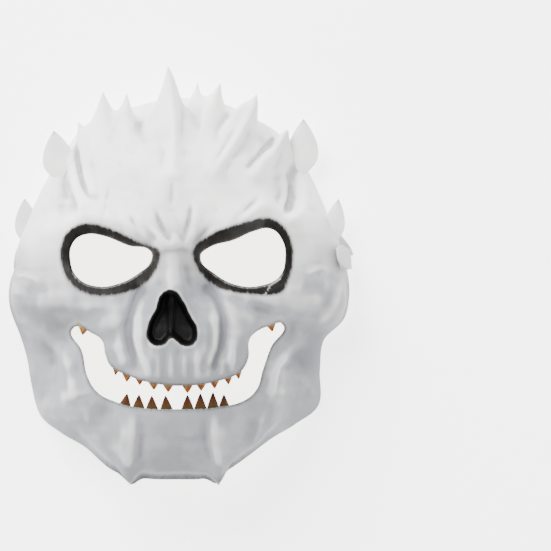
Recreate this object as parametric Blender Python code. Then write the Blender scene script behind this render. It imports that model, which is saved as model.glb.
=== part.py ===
"""Skull mask: one foam moulding with its horns, fins, chin points and teeth, worn on an elastic strap.

The mask lies on its rim with the face up: +Z is the way the face looks and +Y is the top of the head.
The origin is at the middle of the bottom of its box. All sizes are in metres.
"""
import math
from collections import namedtuple

import bmesh
import bpy
from mathutils import Matrix, Vector
from mathutils.bvhtree import BVHTree

# Driving dimensions of the moulding
HALF_WIDTH = 0.1029
HALF_HEIGHT = 0.1260
FACE_DEPTH = 0.0800
WALL = 0.0040
LIP = 0.0040
NOSE_DEPTH = 0.0070
HORN_THICKNESS = 0.0085
FIN_THICKNESS = 0.0042
TOOTH_THICKNESS = 0.0040
TOOTH_ROOT = 0.0035

# Driving dimensions of the strap and its pads
STRAP_WIDTH = 0.0130
STRAP_THICKNESS = 0.0013
PAD_DIAMETER = 0.0150
PAD_THICKNESS = 0.0020
STRAP_REACH = 0.0780
GAP = 0.0003

# How finely the surfaces are divided
OUTER_CELLS = (34, 40)
INNER_CELLS = (28, 32)
EDGE_CROWDING = math.radians(72)

# Edge of the mask seen from the front. Bearing in degrees from +X, reach as a share of the half sizes,
# fullness of the curve from the middle of the face to that edge.
Edge = namedtuple("Edge", "bearing reach fullness")
EDGES = (
    Edge(0, 0.985, 2.4),
    Edge(10, 0.945, 2.4),
    Edge(21, 0.910, 2.5),
    Edge(36, 0.903, 2.8),
    Edge(50, 0.894, 3.1),
    Edge(61, 0.870, 3.3),
    Edge(75, 0.862, 3.5),
    Edge(90, 0.852, 3.6),
    Edge(106, 0.851, 3.5),
    Edge(116, 0.872, 3.3),
    Edge(128, 0.912, 3.1),
    Edge(138, 0.902, 2.8),
    Edge(150, 0.908, 2.6),
    Edge(163, 0.923, 2.4),
    Edge(171, 0.952, 2.4),
    Edge(177, 0.958, 2.4),
    Edge(182, 0.992, 2.4),
    Edge(188, 1.004, 2.3),
    Edge(197, 0.978, 2.2),
    Edge(204, 0.980, 2.2),
    Edge(211, 1.015, 2.2),
    Edge(219, 1.054, 2.2),
    Edge(227, 1.020, 2.3),
    Edge(236, 0.984, 2.5),
    Edge(248, 1.002, 2.6),
    Edge(258, 0.982, 2.6),
    Edge(269, 0.966, 2.6),
    Edge(282, 0.973, 2.6),
    Edge(296, 0.945, 2.5),
    Edge(305, 0.943, 2.4),
    Edge(314, 0.980, 2.3),
    Edge(323, 1.020, 2.2),
    Edge(331, 0.938, 2.2),
    Edge(340, 0.898, 2.2),
    Edge(348, 0.983, 2.3),
    Edge(355, 0.996, 2.4),
)

# Rim seen from the side, from the top of the head to the chin. Rise is a share of the face's depth.
RimStep = namedtuple("RimStep", "up rise")
RIM_LINE = (
    RimStep(1.20, 0.00),
    RimStep(0.55, 0.00),
    RimStep(0.12, 0.12),
    RimStep(-0.10, 0.11),
    RimStep(-0.34, 0.00),
    RimStep(-0.60, 0.00),
    RimStep(-0.80, 0.30),
    RimStep(-0.97, 0.52),
    RimStep(-1.20, 0.52),
)

# Band under the left temple: it is tall and drawn in below the widest line, which hides the strap's
# left end from the front. Its shoulder is a share of its height and of how far it is drawn in.
TUCK_BEARING = 176
TUCK_SPREAD = 13
TUCK_HEIGHT = 0.0150
TUCK_LEAN = 0.0068
TUCK_SHOULDER = (0.28, 0.68)

# Ridges and hollows of the face, each a line across it. Across and up are shares of the half sizes,
# spread is a share of the half width and height a share of the face's depth, negative for a hollow.
Stroke = namedtuple("Stroke", "points spread height side")
STROKES = {
    "brow_left": Stroke(((-0.67, 0.21), (-0.52, 0.27), (-0.32, 0.24), (-0.13, 0.16)), 0.075, 0.085, "both"),
    "brow_right": Stroke(((0.12, 0.16), (0.32, 0.24), (0.50, 0.31), (0.66, 0.25)), 0.075, 0.085, "both"),
    "socket_left": Stroke(((-0.53, 0.07), (-0.28, 0.05)), 0.125, -0.170, "both"),
    "socket_right": Stroke(((0.24, 0.07), (0.48, 0.09)), 0.125, -0.170, "both"),
    "cheekbone_left": Stroke(((-0.90, -0.12), (-0.68, -0.12), (-0.43, -0.15)), 0.100, 0.090, "both"),
    "cheekbone_right": Stroke(((0.88, -0.12), (0.65, -0.12), (0.40, -0.15)), 0.100, 0.090, "both"),
    "under_cheek_left": Stroke(((-0.78, -0.36), (-0.66, -0.27)), 0.090, -0.070, "both"),
    "under_cheek_right": Stroke(((0.74, -0.36), (0.64, -0.28)), 0.090, -0.070, "both"),
    "upper_jaw": Stroke(((-0.16, -0.38), (0.12, -0.38)), 0.200, 0.100, "both"),
    "chin": Stroke(((-0.22, -0.80), (0.18, -0.80)), 0.180, 0.090, "both"),
    "mouth_trough": Stroke(((-0.34, -0.56), (0.32, -0.56)), 0.075, -0.050, "both"),
    "jaw_left": Stroke(((-0.74, -0.29), (-0.67, -0.42), (-0.61, -0.57), (-0.46, -0.71)), 0.070, 0.060, "both"),
    "jaw_right": Stroke(((0.67, -0.31), (0.57, -0.42), (0.54, -0.58), (0.42, -0.71)), 0.070, 0.060, "both"),
    "temple_left": Stroke(((-0.72, 0.52), (-0.71, 0.36)), 0.085, -0.090, "both"),
    "temple_right": Stroke(((0.64, 0.46), (0.61, 0.34)), 0.075, -0.080, "both"),
    "nose_bridge": Stroke(((-0.03, 0.12), (-0.04, -0.07)), 0.065, 0.110, "both"),
    "glabella": Stroke(((-0.09, 0.15), (0.05, 0.15)), 0.060, 0.040, "outer"),
    "behind_nose": Stroke(((-0.04, -0.16), (-0.04, -0.28)), 0.135, -0.110, "inner"),
    "ridge_middle": Stroke(((-0.05, 0.78), (-0.03, 0.62), (-0.03, 0.48)), 0.035, 0.050, "outer"),
    "ridge_right": Stroke(((0.40, 0.74), (0.31, 0.64), (0.20, 0.51)), 0.030, 0.040, "outer"),
    "ridge_far_right": Stroke(((0.60, 0.62), (0.53, 0.56), (0.44, 0.48)), 0.030, 0.035, "outer"),
    "ridge_left": Stroke(((-0.30, 0.76), (-0.28, 0.64)), 0.030, 0.035, "outer"),
    "ridge_far_left": Stroke(
        ((-0.63, 0.60), (-0.63, 0.50), (-0.58, 0.39), (-0.53, 0.33)), 0.030, 0.045, "outer",
    ),
    "temple_edge": Stroke(((0.71, 0.47), (0.73, 0.38), (0.70, 0.30), (0.63, 0.26)), 0.030, 0.035, "outer"),
    "cheek_fold_left": Stroke(
        ((-0.23, -0.09), (-0.29, -0.19), (-0.29, -0.29), (-0.25, -0.40)), 0.035, -0.035, "outer",
    ),
    "cheek_fold_right": Stroke(
        ((0.18, -0.08), (0.25, -0.19), (0.24, -0.29), (0.19, -0.40)), 0.035, -0.035, "outer",
    ),
    "chin_fold_left": Stroke(((-0.28, -0.69), (-0.28, -0.86)), 0.032, 0.030, "outer"),
    "chin_fold_right": Stroke(((0.22, -0.69), (0.22, -0.86)), 0.032, 0.030, "outer"),
    "jaw_groove_left": Stroke(((-0.80, -0.40), (-0.79, -0.50)), 0.060, -0.040, "both"),
    "jaw_groove_right": Stroke(((0.68, -0.42), (0.68, -0.52)), 0.060, -0.040, "both"),
}
EDGE_FADE = 0.10

# Points that stand out from the moulding, each from its root on the face to its tip. Across and up are
# shares of the half sizes, out is a share of the face's depth, breadth is a share of the half width.
Spike = namedtuple("Spike", "root tip out breadth")
HORNS = (
    Spike((-0.05, 0.60), (-0.07, 0.997), 0.42, 0.130),
    Spike((-0.44, 0.65), (-0.45, 0.880), 0.30, 0.130),
    Spike((-0.28, 0.68), (-0.31, 0.862), 0.36, 0.090),
    Spike((0.08, 0.76), (0.11, 0.929), 0.16, 0.080),
    Spike((0.19, 0.70), (0.24, 0.924), 0.26, 0.115),
    Spike((0.37, 0.65), (0.45, 0.869), 0.28, 0.130),
    Spike((0.56, 0.52), (0.636, 0.700), 0.20, 0.095),
    Spike((-0.56, 0.56), (-0.595, 0.736), 0.18, 0.070),
)
FINS = (
    Spike((-0.66, 0.42), (-0.738, 0.693), 0.15, 0.175),
    Spike((0.66, 0.42), (0.724, 0.749), 0.15, 0.170),
    Spike((-0.80, 0.18), (-0.909, 0.368), 0.18, 0.165),
    Spike((0.82, 0.18), (0.928, 0.367), 0.18, 0.130),
)
CHIN_POINTS = (
    Spike((-0.285, -0.86), (-0.285, -0.994), 0.56, 0.100),
    Spike((0.225, -0.86), (0.229, -0.997), 0.56, 0.100),
)

# Taper of each kind of point: how far along, and how wide as a share of its breadth
HORN_PROFILE = ((0.0, 1.0), (0.45, 0.82), (0.80, 0.37), (1.0, 0.07))
FIN_PROFILE = ((0.0, 1.0), (0.45, 1.05), (0.80, 0.50), (1.0, 0.07))
TOOTH_PROFILE = ((0.0, 1.0), (0.60, 0.80), (1.0, 0.12))

# Openings seen from the front, as shares of the half sizes
EYE_LEFT = (
    (-0.633, 0.086), (-0.610, 0.165), (-0.540, 0.197), (-0.440, 0.190), (-0.289, 0.143), (-0.160, 0.115),
    (-0.160, 0.070), (-0.225, 0.018), (-0.350, -0.036), (-0.480, -0.048), (-0.590, -0.005),
)
EYE_RIGHT = (
    (0.125, 0.090), (0.175, 0.133), (0.320, 0.170), (0.440, 0.213), (0.530, 0.224), (0.592, 0.180),
    (0.617, 0.086), (0.585, 0.000), (0.484, -0.043), (0.350, -0.045), (0.210, 0.010),
)
NOSE = (
    (-0.035, -0.074), (0.020, -0.125), (0.060, -0.190), (0.102, -0.262), (0.080, -0.315), (0.030, -0.320),
    (-0.040, -0.285), (-0.100, -0.320), (-0.165, -0.300), (-0.168, -0.240), (-0.120, -0.155), (-0.090, -0.090),
)
MOUTH = (
    (-0.621, -0.251), (-0.564, -0.358), (-0.530, -0.480), (-0.471, -0.552), (-0.377, -0.593), (-0.230, -0.622),
    (0.000, -0.629), (0.240, -0.618), (0.390, -0.585), (0.455, -0.530), (0.485, -0.450), (0.534, -0.336),
    (0.603, -0.230), (0.520, -0.238), (0.452, -0.262), (0.410, -0.300), (0.402, -0.390), (0.360, -0.450),
    (0.220, -0.498), (0.040, -0.517), (-0.140, -0.507), (-0.300, -0.467), (-0.395, -0.425), (-0.425, -0.370),
    (-0.444, -0.306), (-0.498, -0.273),
)

# Teeth, each from its root on the edge of the mouth to its tip. Breadth is a share of the half width.
Tooth = namedtuple("Tooth", "root tip breadth")
UPPER_TEETH = (
    Tooth((-0.555, -0.255), (-0.560, -0.278), 0.045),
    Tooth((-0.362, -0.445), (-0.367, -0.467), 0.035),
    Tooth((-0.298, -0.468), (-0.301, -0.498), 0.045),
    Tooth((-0.224, -0.487), (-0.226, -0.513), 0.045),
    Tooth((-0.143, -0.507), (-0.143, -0.535), 0.050),
    Tooth((-0.060, -0.514), (-0.060, -0.546), 0.052),
    Tooth((0.051, -0.516), (0.051, -0.550), 0.052),
    Tooth((0.130, -0.510), (0.130, -0.540), 0.050),
    Tooth((0.206, -0.500), (0.208, -0.530), 0.046),
    Tooth((0.284, -0.478), (0.288, -0.511), 0.044),
    Tooth((0.342, -0.456), (0.347, -0.486), 0.038),
    Tooth((0.535, -0.236), (0.541, -0.262), 0.045),
)
LOWER_TEETH = (
    Tooth((-0.312, -0.612), (-0.300, -0.560), 0.062),
    Tooth((-0.233, -0.620), (-0.230, -0.564), 0.060),
    Tooth((-0.156, -0.624), (-0.156, -0.569), 0.060),
    Tooth((-0.072, -0.627), (-0.076, -0.569), 0.062),
    Tooth((0.051, -0.627), (0.051, -0.566), 0.062),
    Tooth((0.125, -0.624), (0.125, -0.559), 0.060),
    Tooth((0.198, -0.620), (0.198, -0.554), 0.058),
    Tooth((0.262, -0.616), (0.261, -0.564), 0.054),
)

# Strap: how high its two ends sit on the walls, and the stretch that lies behind the forehead. Inward
# is a share of the rim's reach there and up a share of the strap's reach from its ends.
StrapEnd = namedtuple("StrapEnd", "side y z")
RIGHT_END = StrapEnd(1, 0.0105, 0.0180)
LEFT_END = StrapEnd(-1, 0.0095, 0.0163)
Lying = namedtuple("Lying", "inward up")
LYING = (Lying(0.955, 0.05), Lying(0.90, 0.16), Lying(0.78, 0.40), Lying(0.60, 0.68), Lying(0.34, 0.92))

# Colour and roughness of each material
Finish = namedtuple("Finish", "colour roughness")
PAINTED_FOAM = Finish((0.62, 0.62, 0.63, 1.0), 0.62)
WHITE_ELASTIC = Finish((0.74, 0.74, 0.73, 1.0), 0.85)
PAD_FOAM = Finish((0.68, 0.68, 0.69, 1.0), 0.80)


def clear_scene():
    for thing in list(bpy.data.objects):
        bpy.data.objects.remove(thing, do_unlink=True)


def new_collection(name):
    collection = bpy.data.collections.new(name)
    bpy.context.scene.collection.children.link(collection)
    return collection


def move_to(thing, collection):
    for owner in list(thing.users_collection):
        owner.objects.unlink(thing)
    collection.objects.link(thing)


def as_cutter(thing, collection):
    move_to(thing, collection)
    thing.hide_render = True
    thing.display_type = "WIRE"


def coat(thing, name, finish):
    material = bpy.data.materials.new(name)
    material.use_nodes = True
    shader = material.node_tree.nodes["Principled BSDF"]
    shader.inputs["Base Color"].default_value = finish.colour
    shader.inputs["Roughness"].default_value = finish.roughness
    shader.inputs["Metallic"].default_value = 0.0
    thing.data.materials.clear()
    thing.data.materials.append(material)


def eased(step):
    return step * step * (3.0 - 2.0 * step)


def rim_rise(y):
    """Height of the rim above the floor at a place between the top of the head and the chin."""
    up = y / HALF_HEIGHT
    for upper, lower in zip(RIM_LINE, RIM_LINE[1:]):
        if lower.up <= up <= upper.up:
            step = (upper.up - up) / (upper.up - lower.up)
            return FACE_DEPTH * (upper.rise + (lower.rise - upper.rise) * eased(step))
    return FACE_DEPTH * (RIM_LINE[0].rise if up > RIM_LINE[0].up else RIM_LINE[-1].rise)


def edge_at(bearing):
    """Reach and fullness at a bearing in degrees, on a smooth closed curve through the rows."""
    bearing = bearing % 360.0
    count = len(EDGES)
    at = max(i for i in range(count) if EDGES[i].bearing <= bearing)
    rows = [EDGES[(at + k) % count] for k in (-1, 0, 1, 2)]
    angles = [row.bearing for row in rows]
    angles[0] -= 360.0 if at == 0 else 0.0
    angles[2] += 360.0 if at + 1 >= count else 0.0
    angles[3] += 360.0 if at + 2 >= count else 0.0
    span = angles[2] - angles[1]
    t = (bearing - angles[1]) / span

    def blend(values):
        start_slope = (values[2] - values[0]) / (angles[2] - angles[0]) * span
        end_slope = (values[3] - values[1]) / (angles[3] - angles[1]) * span
        rest = (2 * t**3 - 3 * t**2 + 1) * values[1] + (3 * t**2 - 2 * t**3) * values[2]
        return rest + (t**3 - 2 * t**2 + t) * start_slope + (t**3 - t**2) * end_slope

    return blend([row.reach for row in rows]), blend([row.fullness for row in rows])


def tuck_at(bearing):
    """How much of the left cheek's band there is at a bearing, from 0 to 1."""
    turn = (bearing - TUCK_BEARING + 180.0) % 360.0 - 180.0
    return math.exp(-0.5 * (turn / TUCK_SPREAD) ** 2)


def rim_point(bearing):
    """Outermost point of the mask at a bearing, with the height of the dome's edge there."""
    reach = edge_at(bearing)[0]
    x = reach * HALF_WIDTH * math.cos(math.radians(bearing))
    y = reach * HALF_HEIGHT * math.sin(math.radians(bearing))
    return Vector((x, y, rim_rise(y) + LIP + TUCK_HEIGHT * tuck_at(bearing)))


def line_distance(x, y, points):
    """Distance in plan from a place to a line given in shares of the half sizes."""
    place = Vector((x, y))
    nearest = None
    for start, end in zip(points, points[1:]):
        a = Vector((start[0] * HALF_WIDTH, start[1] * HALF_HEIGHT))
        b = Vector((end[0] * HALF_WIDTH, end[1] * HALF_HEIGHT))
        along = b - a
        share = max(0.0, min(1.0, (place - a).dot(along) / along.length_squared))
        distance = (place - a - along * share).length
        nearest = distance if nearest is None else min(nearest, distance)
    return nearest


def relief(x, y, side):
    """How far the face stands out from its plain dome, on its outer or its inner side."""
    height = 0.0
    for stroke in STROKES.values():
        if stroke.side not in ("both", side):
            continue
        distance = line_distance(x, y, stroke.points) / (stroke.spread * HALF_WIDTH)
        if distance < 4.0:
            height += stroke.height * FACE_DEPTH * math.exp(-0.5 * distance * distance)
    return height


def face_point(grid_x, grid_y, side):
    """A place of the square grid moved onto the front of the face."""
    disc_x = grid_x * math.sqrt(1.0 - 0.5 * grid_y * grid_y)
    disc_y = grid_y * math.sqrt(1.0 - 0.5 * grid_x * grid_x)
    share = min(1.0, math.hypot(disc_x, disc_y))
    bearing = math.degrees(math.atan2(disc_y, disc_x))
    outward = math.sin(EDGE_CROWDING * share) / math.sin(EDGE_CROWDING)
    rim = rim_point(bearing)
    fullness = edge_at(bearing)[1]
    x = rim.x * outward
    y = rim.y * outward
    z = rim.z + (FACE_DEPTH - rim.z) * (1.0 - outward**fullness)
    normal = Vector((x / HALF_WIDTH**2, y / HALF_HEIGHT**2, (z - rim.z) / FACE_DEPTH**2)).normalized()
    fade = eased(min(1.0, (1.0 - outward) / EDGE_FADE))
    inset = WALL if side == "inner" else 0.0
    return Vector((x, y, z)) + normal * (relief(x, y, side) * fade - inset)


def draw_in(vert, to_foot, bottom):
    """Moves a corner of the band's last row down to its shoulder, or on past the rim to the bottom."""
    tuck = tuck_at(math.degrees(math.atan2(vert.co.y / HALF_HEIGHT, vert.co.x / HALF_WIDTH)))
    height = LIP + TUCK_HEIGHT * tuck
    drop = TUCK_SHOULDER[0] * height
    lean = TUCK_SHOULDER[1] * TUCK_LEAN * tuck
    if to_foot:
        drop = vert.co.z - bottom
        slope = (1.0 - TUCK_SHOULDER[1]) * TUCK_LEAN * tuck / ((1.0 - TUCK_SHOULDER[0]) * height)
        lean = slope * drop
    vert.co -= Vector((vert.co.x, vert.co.y, 0.0)).normalized() * lean
    vert.co.z -= drop


def dome(name, cells, side, bottom):
    """Closed solid under the face: its front, a band down from its edge, and a flat bottom."""
    bpy.ops.mesh.primitive_grid_add(x_subdivisions=cells[0], y_subdivisions=cells[1], size=2.0)
    thing = bpy.context.active_object
    thing.name = name
    shape = bmesh.new()
    shape.from_mesh(thing.data)
    for vert in shape.verts:
        vert.co = face_point(vert.co.x, vert.co.y, side)
    for to_foot in (False, True):
        border = [edge for edge in shape.edges if edge.is_boundary]
        made = bmesh.ops.extrude_edge_only(shape, edges=border)["geom"]
        for vert in (item for item in made if isinstance(item, bmesh.types.BMVert)):
            draw_in(vert, to_foot, bottom)
    foot_edges = [edge for edge in shape.edges if edge.is_boundary]
    bmesh.ops.edgeloop_fill(shape, edges=foot_edges)
    bmesh.ops.triangulate(shape, faces=shape.faces)
    bmesh.ops.recalc_face_normals(shape, faces=shape.faces)
    shape.to_mesh(thing.data)
    shape.free()
    return thing


def mesh_of(curve_object):
    """The curve made a closed mesh, which takes its place."""
    bpy.context.view_layer.update()
    depsgraph = bpy.context.evaluated_depsgraph_get()
    mesh = bpy.data.meshes.new_from_object(curve_object.evaluated_get(depsgraph))
    shape = bmesh.new()
    shape.from_mesh(mesh)
    bmesh.ops.remove_doubles(shape, verts=shape.verts, dist=0.00001)
    bmesh.ops.triangulate(shape, faces=shape.faces)
    bmesh.ops.recalc_face_normals(shape, faces=shape.faces)
    shape.to_mesh(mesh)
    shape.free()
    thing = bpy.data.objects.new(curve_object.name, mesh)
    thing.matrix_world = curve_object.matrix_world
    bpy.context.scene.collection.objects.link(thing)
    bpy.data.objects.remove(curve_object, do_unlink=True)
    thing.name = thing.name.split(".")[0]
    return thing


def rounded_prism(name, outline, low, high):
    """Block along Z whose outline is a smooth closed curve through points given in shares."""
    curve = bpy.data.curves.new(name, "CURVE")
    curve.dimensions = "2D"
    curve.fill_mode = "BOTH"
    curve.extrude = 0.5 * (high - low)
    curve.resolution_u = 2
    spline = curve.splines.new("BEZIER")
    spline.bezier_points.add(len(outline) - 1)
    for point, (across, up) in zip(spline.bezier_points, outline):
        point.co = (across * HALF_WIDTH, up * HALF_HEIGHT, 0.0)
        point.handle_left_type = "AUTO"
        point.handle_right_type = "AUTO"
    spline.use_cyclic_u = True
    thing = bpy.data.objects.new(name, curve)
    thing.location.z = 0.5 * (high + low)
    bpy.context.scene.collection.objects.link(thing)
    return mesh_of(thing)


def rim_cutter(reach):
    """Block under the rim line, across the whole width."""
    steps = 32
    top = RIM_LINE[0].up * HALF_HEIGHT
    foot = RIM_LINE[-1].up * HALF_HEIGHT
    curve = bpy.data.curves.new("rim_cutter", "CURVE")
    curve.dimensions = "2D"
    curve.fill_mode = "BOTH"
    curve.extrude = reach
    spline = curve.splines.new("POLY")
    places = [top + (foot - top) * i / steps for i in range(steps + 1)]
    outline = [(y, rim_rise(y)) for y in places] + [(foot, -reach), (top, -reach)]
    spline.points.add(len(outline) - 1)
    for point, (y, z) in zip(spline.points, outline):
        point.co = (y, z, 0.0, 1.0)
    spline.use_cyclic_u = True
    thing = bpy.data.objects.new("rim_cutter", curve)
    thing.matrix_world = Matrix(((0, 0, 1, 0), (1, 0, 0, 0), (0, 1, 0, 0), (0, 0, 0, 1)))
    bpy.context.scene.collection.objects.link(thing)
    return mesh_of(thing)


def spike(name, root, tip, breadth, thickness, profile, roundness):
    """Tapering point from root to tip, with its flat side to the front."""
    along = tip - root
    curve = bpy.data.curves.new(name, "CURVE")
    curve.dimensions = "3D"
    curve.bevel_depth = 0.5
    curve.bevel_resolution = roundness
    curve.use_fill_caps = True
    spline = curve.splines.new("POLY")
    spline.points.add(len(profile) - 1)
    for point, (share, radius) in zip(spline.points, profile):
        point.co = (0.0, 0.0, share, 1.0)
        point.radius = radius
    thing = bpy.data.objects.new(name, curve)
    bpy.context.scene.collection.objects.link(thing)
    thing = mesh_of(thing)
    axis = along.normalized()
    across = axis.cross(Vector((0.0, 0.0, 1.0))).normalized()
    front = across.cross(axis)
    frame = Matrix((across * breadth, front * thickness, along)).transposed().to_4x4()
    frame.translation = root
    thing.data.transform(frame)
    if frame.determinant() < 0.0:
        thing.data.flip_normals()
    return thing


def place(across, up, height):
    return Vector((across * HALF_WIDTH, up * HALF_HEIGHT, height))


def join(target, other, operation, collection=None):
    cut = target.modifiers.new(operation.lower(), "BOOLEAN")
    cut.operation = operation
    cut.solver = "EXACT"
    if collection is None:
        cut.object = other
    else:
        cut.operand_type = "COLLECTION"
        cut.collection = collection


def face_tree(thing):
    shape = bmesh.new()
    shape.from_mesh(thing.data)
    tree = BVHTree.FromBMesh(shape)
    shape.free()
    return tree


def height_at(tree, across, up):
    """Height of the face at a place seen from the front."""
    start = Vector((across * HALF_WIDTH, up * HALF_HEIGHT, 3.0 * FACE_DEPTH))
    hit = tree.ray_cast(start, Vector((0.0, 0.0, -1.0)))
    return hit[0].z


def wall_point(tree, side, y, z):
    """Point of the outer wall at a height, met from the right (+1) or the left (-1)."""
    hit = tree.ray_cast(Vector((side * 3.0 * HALF_WIDTH, y, z)), Vector((-side, 0.0, 0.0)))
    return hit[0]


def wall_seat(tree, end):
    """Frame of a flat seat that clears the wall: a point on it, its outward normal and its way down."""
    reach = 0.4 * PAD_DIAMETER
    upper = wall_point(tree, end.side, end.y, end.z + reach)
    lower = wall_point(tree, end.side, end.y, end.z - reach)
    front = wall_point(tree, end.side, end.y + reach, end.z)
    back = wall_point(tree, end.side, end.y - reach, end.z)
    down = (lower - upper).normalized()
    normal = down.cross(front - back).normalized() * end.side
    middle = wall_point(tree, end.side, end.y, end.z)
    top = end.z + 0.5 * PAD_DIAMETER
    foot = rim_rise(end.y)
    proud = 0.0
    for row in range(9):
        for column in range(-4, 5):
            z = foot + (top - foot) * row / 8
            point = wall_point(tree, end.side, end.y + 0.15 * PAD_DIAMETER * column, z)
            proud = max(proud, (point - middle).dot(normal))
    return middle + normal * (proud + GAP), normal, down


def strap_half(tree, end):
    """One half of the strap's route, from its end on the wall to the middle of the head.

    Each point has the strap's width direction on the wall, or none where the strap lies level.
    """
    seat, normal, down = wall_seat(tree, end)
    centre = seat + normal * 0.5 * STRAP_THICKNESS
    across = normal.cross(down) * end.side
    rim_z = rim_rise(end.y)
    floor_z = GAP + 0.5 * STRAP_THICKNESS
    shoulder = centre + down * 0.55 * PAD_DIAMETER
    straight_on = centre + down * (centre.z - rim_z + STRAP_THICKNESS) / abs(down.z)
    out = 0.6 * abs(shoulder.x) + 0.4 * abs(straight_on.x)
    level = Vector((0.0, 0.0, 0.0))
    route = [(centre - down * 0.2 * PAD_DIAMETER, across), (centre, across), (shoulder, across)]
    for inward, height in ((0.0, rim_z - STRAP_THICKNESS), (0.5 * STRAP_THICKNESS, 0.45 * rim_z)):
        route.append((Vector((end.side * (out - inward), end.y, height)), across))
    route.append((Vector((end.side * (out - 2.5 * STRAP_THICKNESS), end.y, 1.5 * floor_z)), level))
    for place_on_floor in LYING:
        x = end.side * out * place_on_floor.inward
        y = end.y + place_on_floor.up * (STRAP_REACH - end.y)
        route.append((Vector((x, y, floor_z)), level))
    return route


def smooth_route(route, per_span):
    """Points read from a smooth curve through the route's own points, with their width directions."""
    places = []
    for i in range(len(route) - 1):
        a = route[max(i - 1, 0)]
        b = route[i]
        c = route[i + 1]
        d = route[min(i + 2, len(route) - 1)]
        for k in range(per_span):
            t = k / per_span
            point = 0.5 * (
                2 * b[0] + (c[0] - a[0]) * t
                + (2 * a[0] - 5 * b[0] + 4 * c[0] - d[0]) * t**2
                + (3 * b[0] - a[0] - 3 * c[0] + d[0]) * t**3
            )
            point.z = max(point.z, GAP + 0.5 * STRAP_THICKNESS)
            places.append((point, b[1].lerp(c[1], eased(t))))
    places.append(route[-1])
    return places


def elastic_strap(tree):
    """Flat band lofted along its route, a rectangle at each place."""
    right = strap_half(tree, RIGHT_END)
    left = strap_half(tree, LEFT_END)
    middle = (Vector((0.0, STRAP_REACH, GAP + 0.5 * STRAP_THICKNESS)), Vector((0.0, 0.0, 0.0)))
    route = smooth_route(right + [middle] + left[::-1], 3)
    shape = bmesh.new()
    rings = []
    for i, (point, hint) in enumerate(route):
        before = route[max(i - 1, 0)][0]
        after = route[min(i + 1, len(route) - 1)][0]
        along = (after - before).normalized()
        level = Vector((-along.y, along.x, 0.0)).normalized()
        level *= (1.0 - hint.length) * math.copysign(1.0, level.y)
        wide = hint + level
        wide = (wide - along * wide.dot(along)).normalized() * 0.5 * STRAP_WIDTH
        thick = along.cross(wide).normalized() * 0.5 * STRAP_THICKNESS
        corners = (wide + thick, thick - wide, -wide - thick, wide - thick)
        rings.append([shape.verts.new(point + corner) for corner in corners])
    for near, far in zip(rings, rings[1:]):
        for k in range(4):
            shape.faces.new((near[k], near[(k + 1) % 4], far[(k + 1) % 4], far[k]))
    shape.faces.new(rings[0][::-1])
    shape.faces.new(rings[-1])
    bmesh.ops.recalc_face_normals(shape, faces=shape.faces)
    mesh = bpy.data.meshes.new("elastic_strap")
    shape.to_mesh(mesh)
    shape.free()
    thing = bpy.data.objects.new("elastic_strap", mesh)
    bpy.context.scene.collection.objects.link(thing)
    return thing


def strap_pad(name, tree, end):
    """Round pad glued over an end of the strap."""
    seat, normal, down = wall_seat(tree, end)
    bpy.ops.mesh.primitive_cylinder_add(vertices=20, radius=0.5 * PAD_DIAMETER, depth=PAD_THICKNESS)
    thing = bpy.context.active_object
    thing.name = name
    across = normal.cross(down)
    turn = Matrix((down, across, normal)).transposed().to_4x4()
    turn.translation = seat + normal * (STRAP_THICKNESS + GAP + 0.5 * PAD_THICKNESS)
    thing.matrix_world = turn
    return thing


def moulding(parts, cutters):
    """The whole foam piece."""
    skirt = 3.0 * LIP
    shell = dome("face_shell", OUTER_CELLS, "outer", -skirt)
    move_to(shell, parts)
    tree = face_tree(shell)

    raised = bpy.data.collections.new("raised_points")
    cutters.children.link(raised)
    for rows, name, thickness, profile in (
        (HORNS, "horn", HORN_THICKNESS, HORN_PROFILE),
        (FINS, "fin", FIN_THICKNESS, FIN_PROFILE),
        (CHIN_POINTS, "chin_point", HORN_THICKNESS, HORN_PROFILE),
    ):
        for i, row in enumerate(rows):
            root = place(*row.root, height_at(tree, *row.root) - 0.5 * thickness)
            tip = place(*row.tip, row.out * FACE_DEPTH)
            point = spike(f"{name}_{i + 1}", root, tip, row.breadth * HALF_WIDTH, thickness, profile, 2)
            as_cutter(point, raised)
    join(shell, None, "UNION", raised)

    hollow = dome("hollow", INNER_CELLS, "inner", -2.0 * skirt)
    as_cutter(hollow, cutters)
    join(shell, hollow, "DIFFERENCE")

    low = -3.0 * skirt
    high = 3.0 * FACE_DEPTH
    nose_floor = height_at(tree, -0.035, -0.23) - NOSE_DEPTH
    for name, outline, floor in (
        ("eye_left_cutter", EYE_LEFT, low),
        ("eye_right_cutter", EYE_RIGHT, low),
        ("mouth_cutter", MOUTH, low),
        ("nose_cutter", NOSE, nose_floor),
    ):
        cutter = rounded_prism(name, outline, floor, high)
        as_cutter(cutter, cutters)
        join(shell, cutter, "DIFFERENCE")

    teeth = bpy.data.collections.new("teeth")
    cutters.children.link(teeth)
    for rows, name, lean in ((UPPER_TEETH, "upper_tooth", -0.05), (LOWER_TEETH, "lower_tooth", 0.05)):
        for i, row in enumerate(rows):
            root_height = height_at(tree, *row.root) - 0.55 * WALL
            root = place(*row.root, root_height)
            tip = place(*row.tip, root_height + lean * WALL)
            root -= (tip - root).normalized() * TOOTH_ROOT
            breadth = row.breadth * HALF_WIDTH
            tooth = spike(f"{name}_{i + 1}", root, tip, breadth, TOOTH_THICKNESS, TOOTH_PROFILE, 1)
            as_cutter(tooth, teeth)
    join(shell, None, "UNION", teeth)

    under = rim_cutter(3.0 * HALF_WIDTH)
    as_cutter(under, cutters)
    join(shell, under, "DIFFERENCE")
    coat(shell, "painted_foam", PAINTED_FOAM)
    return tree


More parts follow.
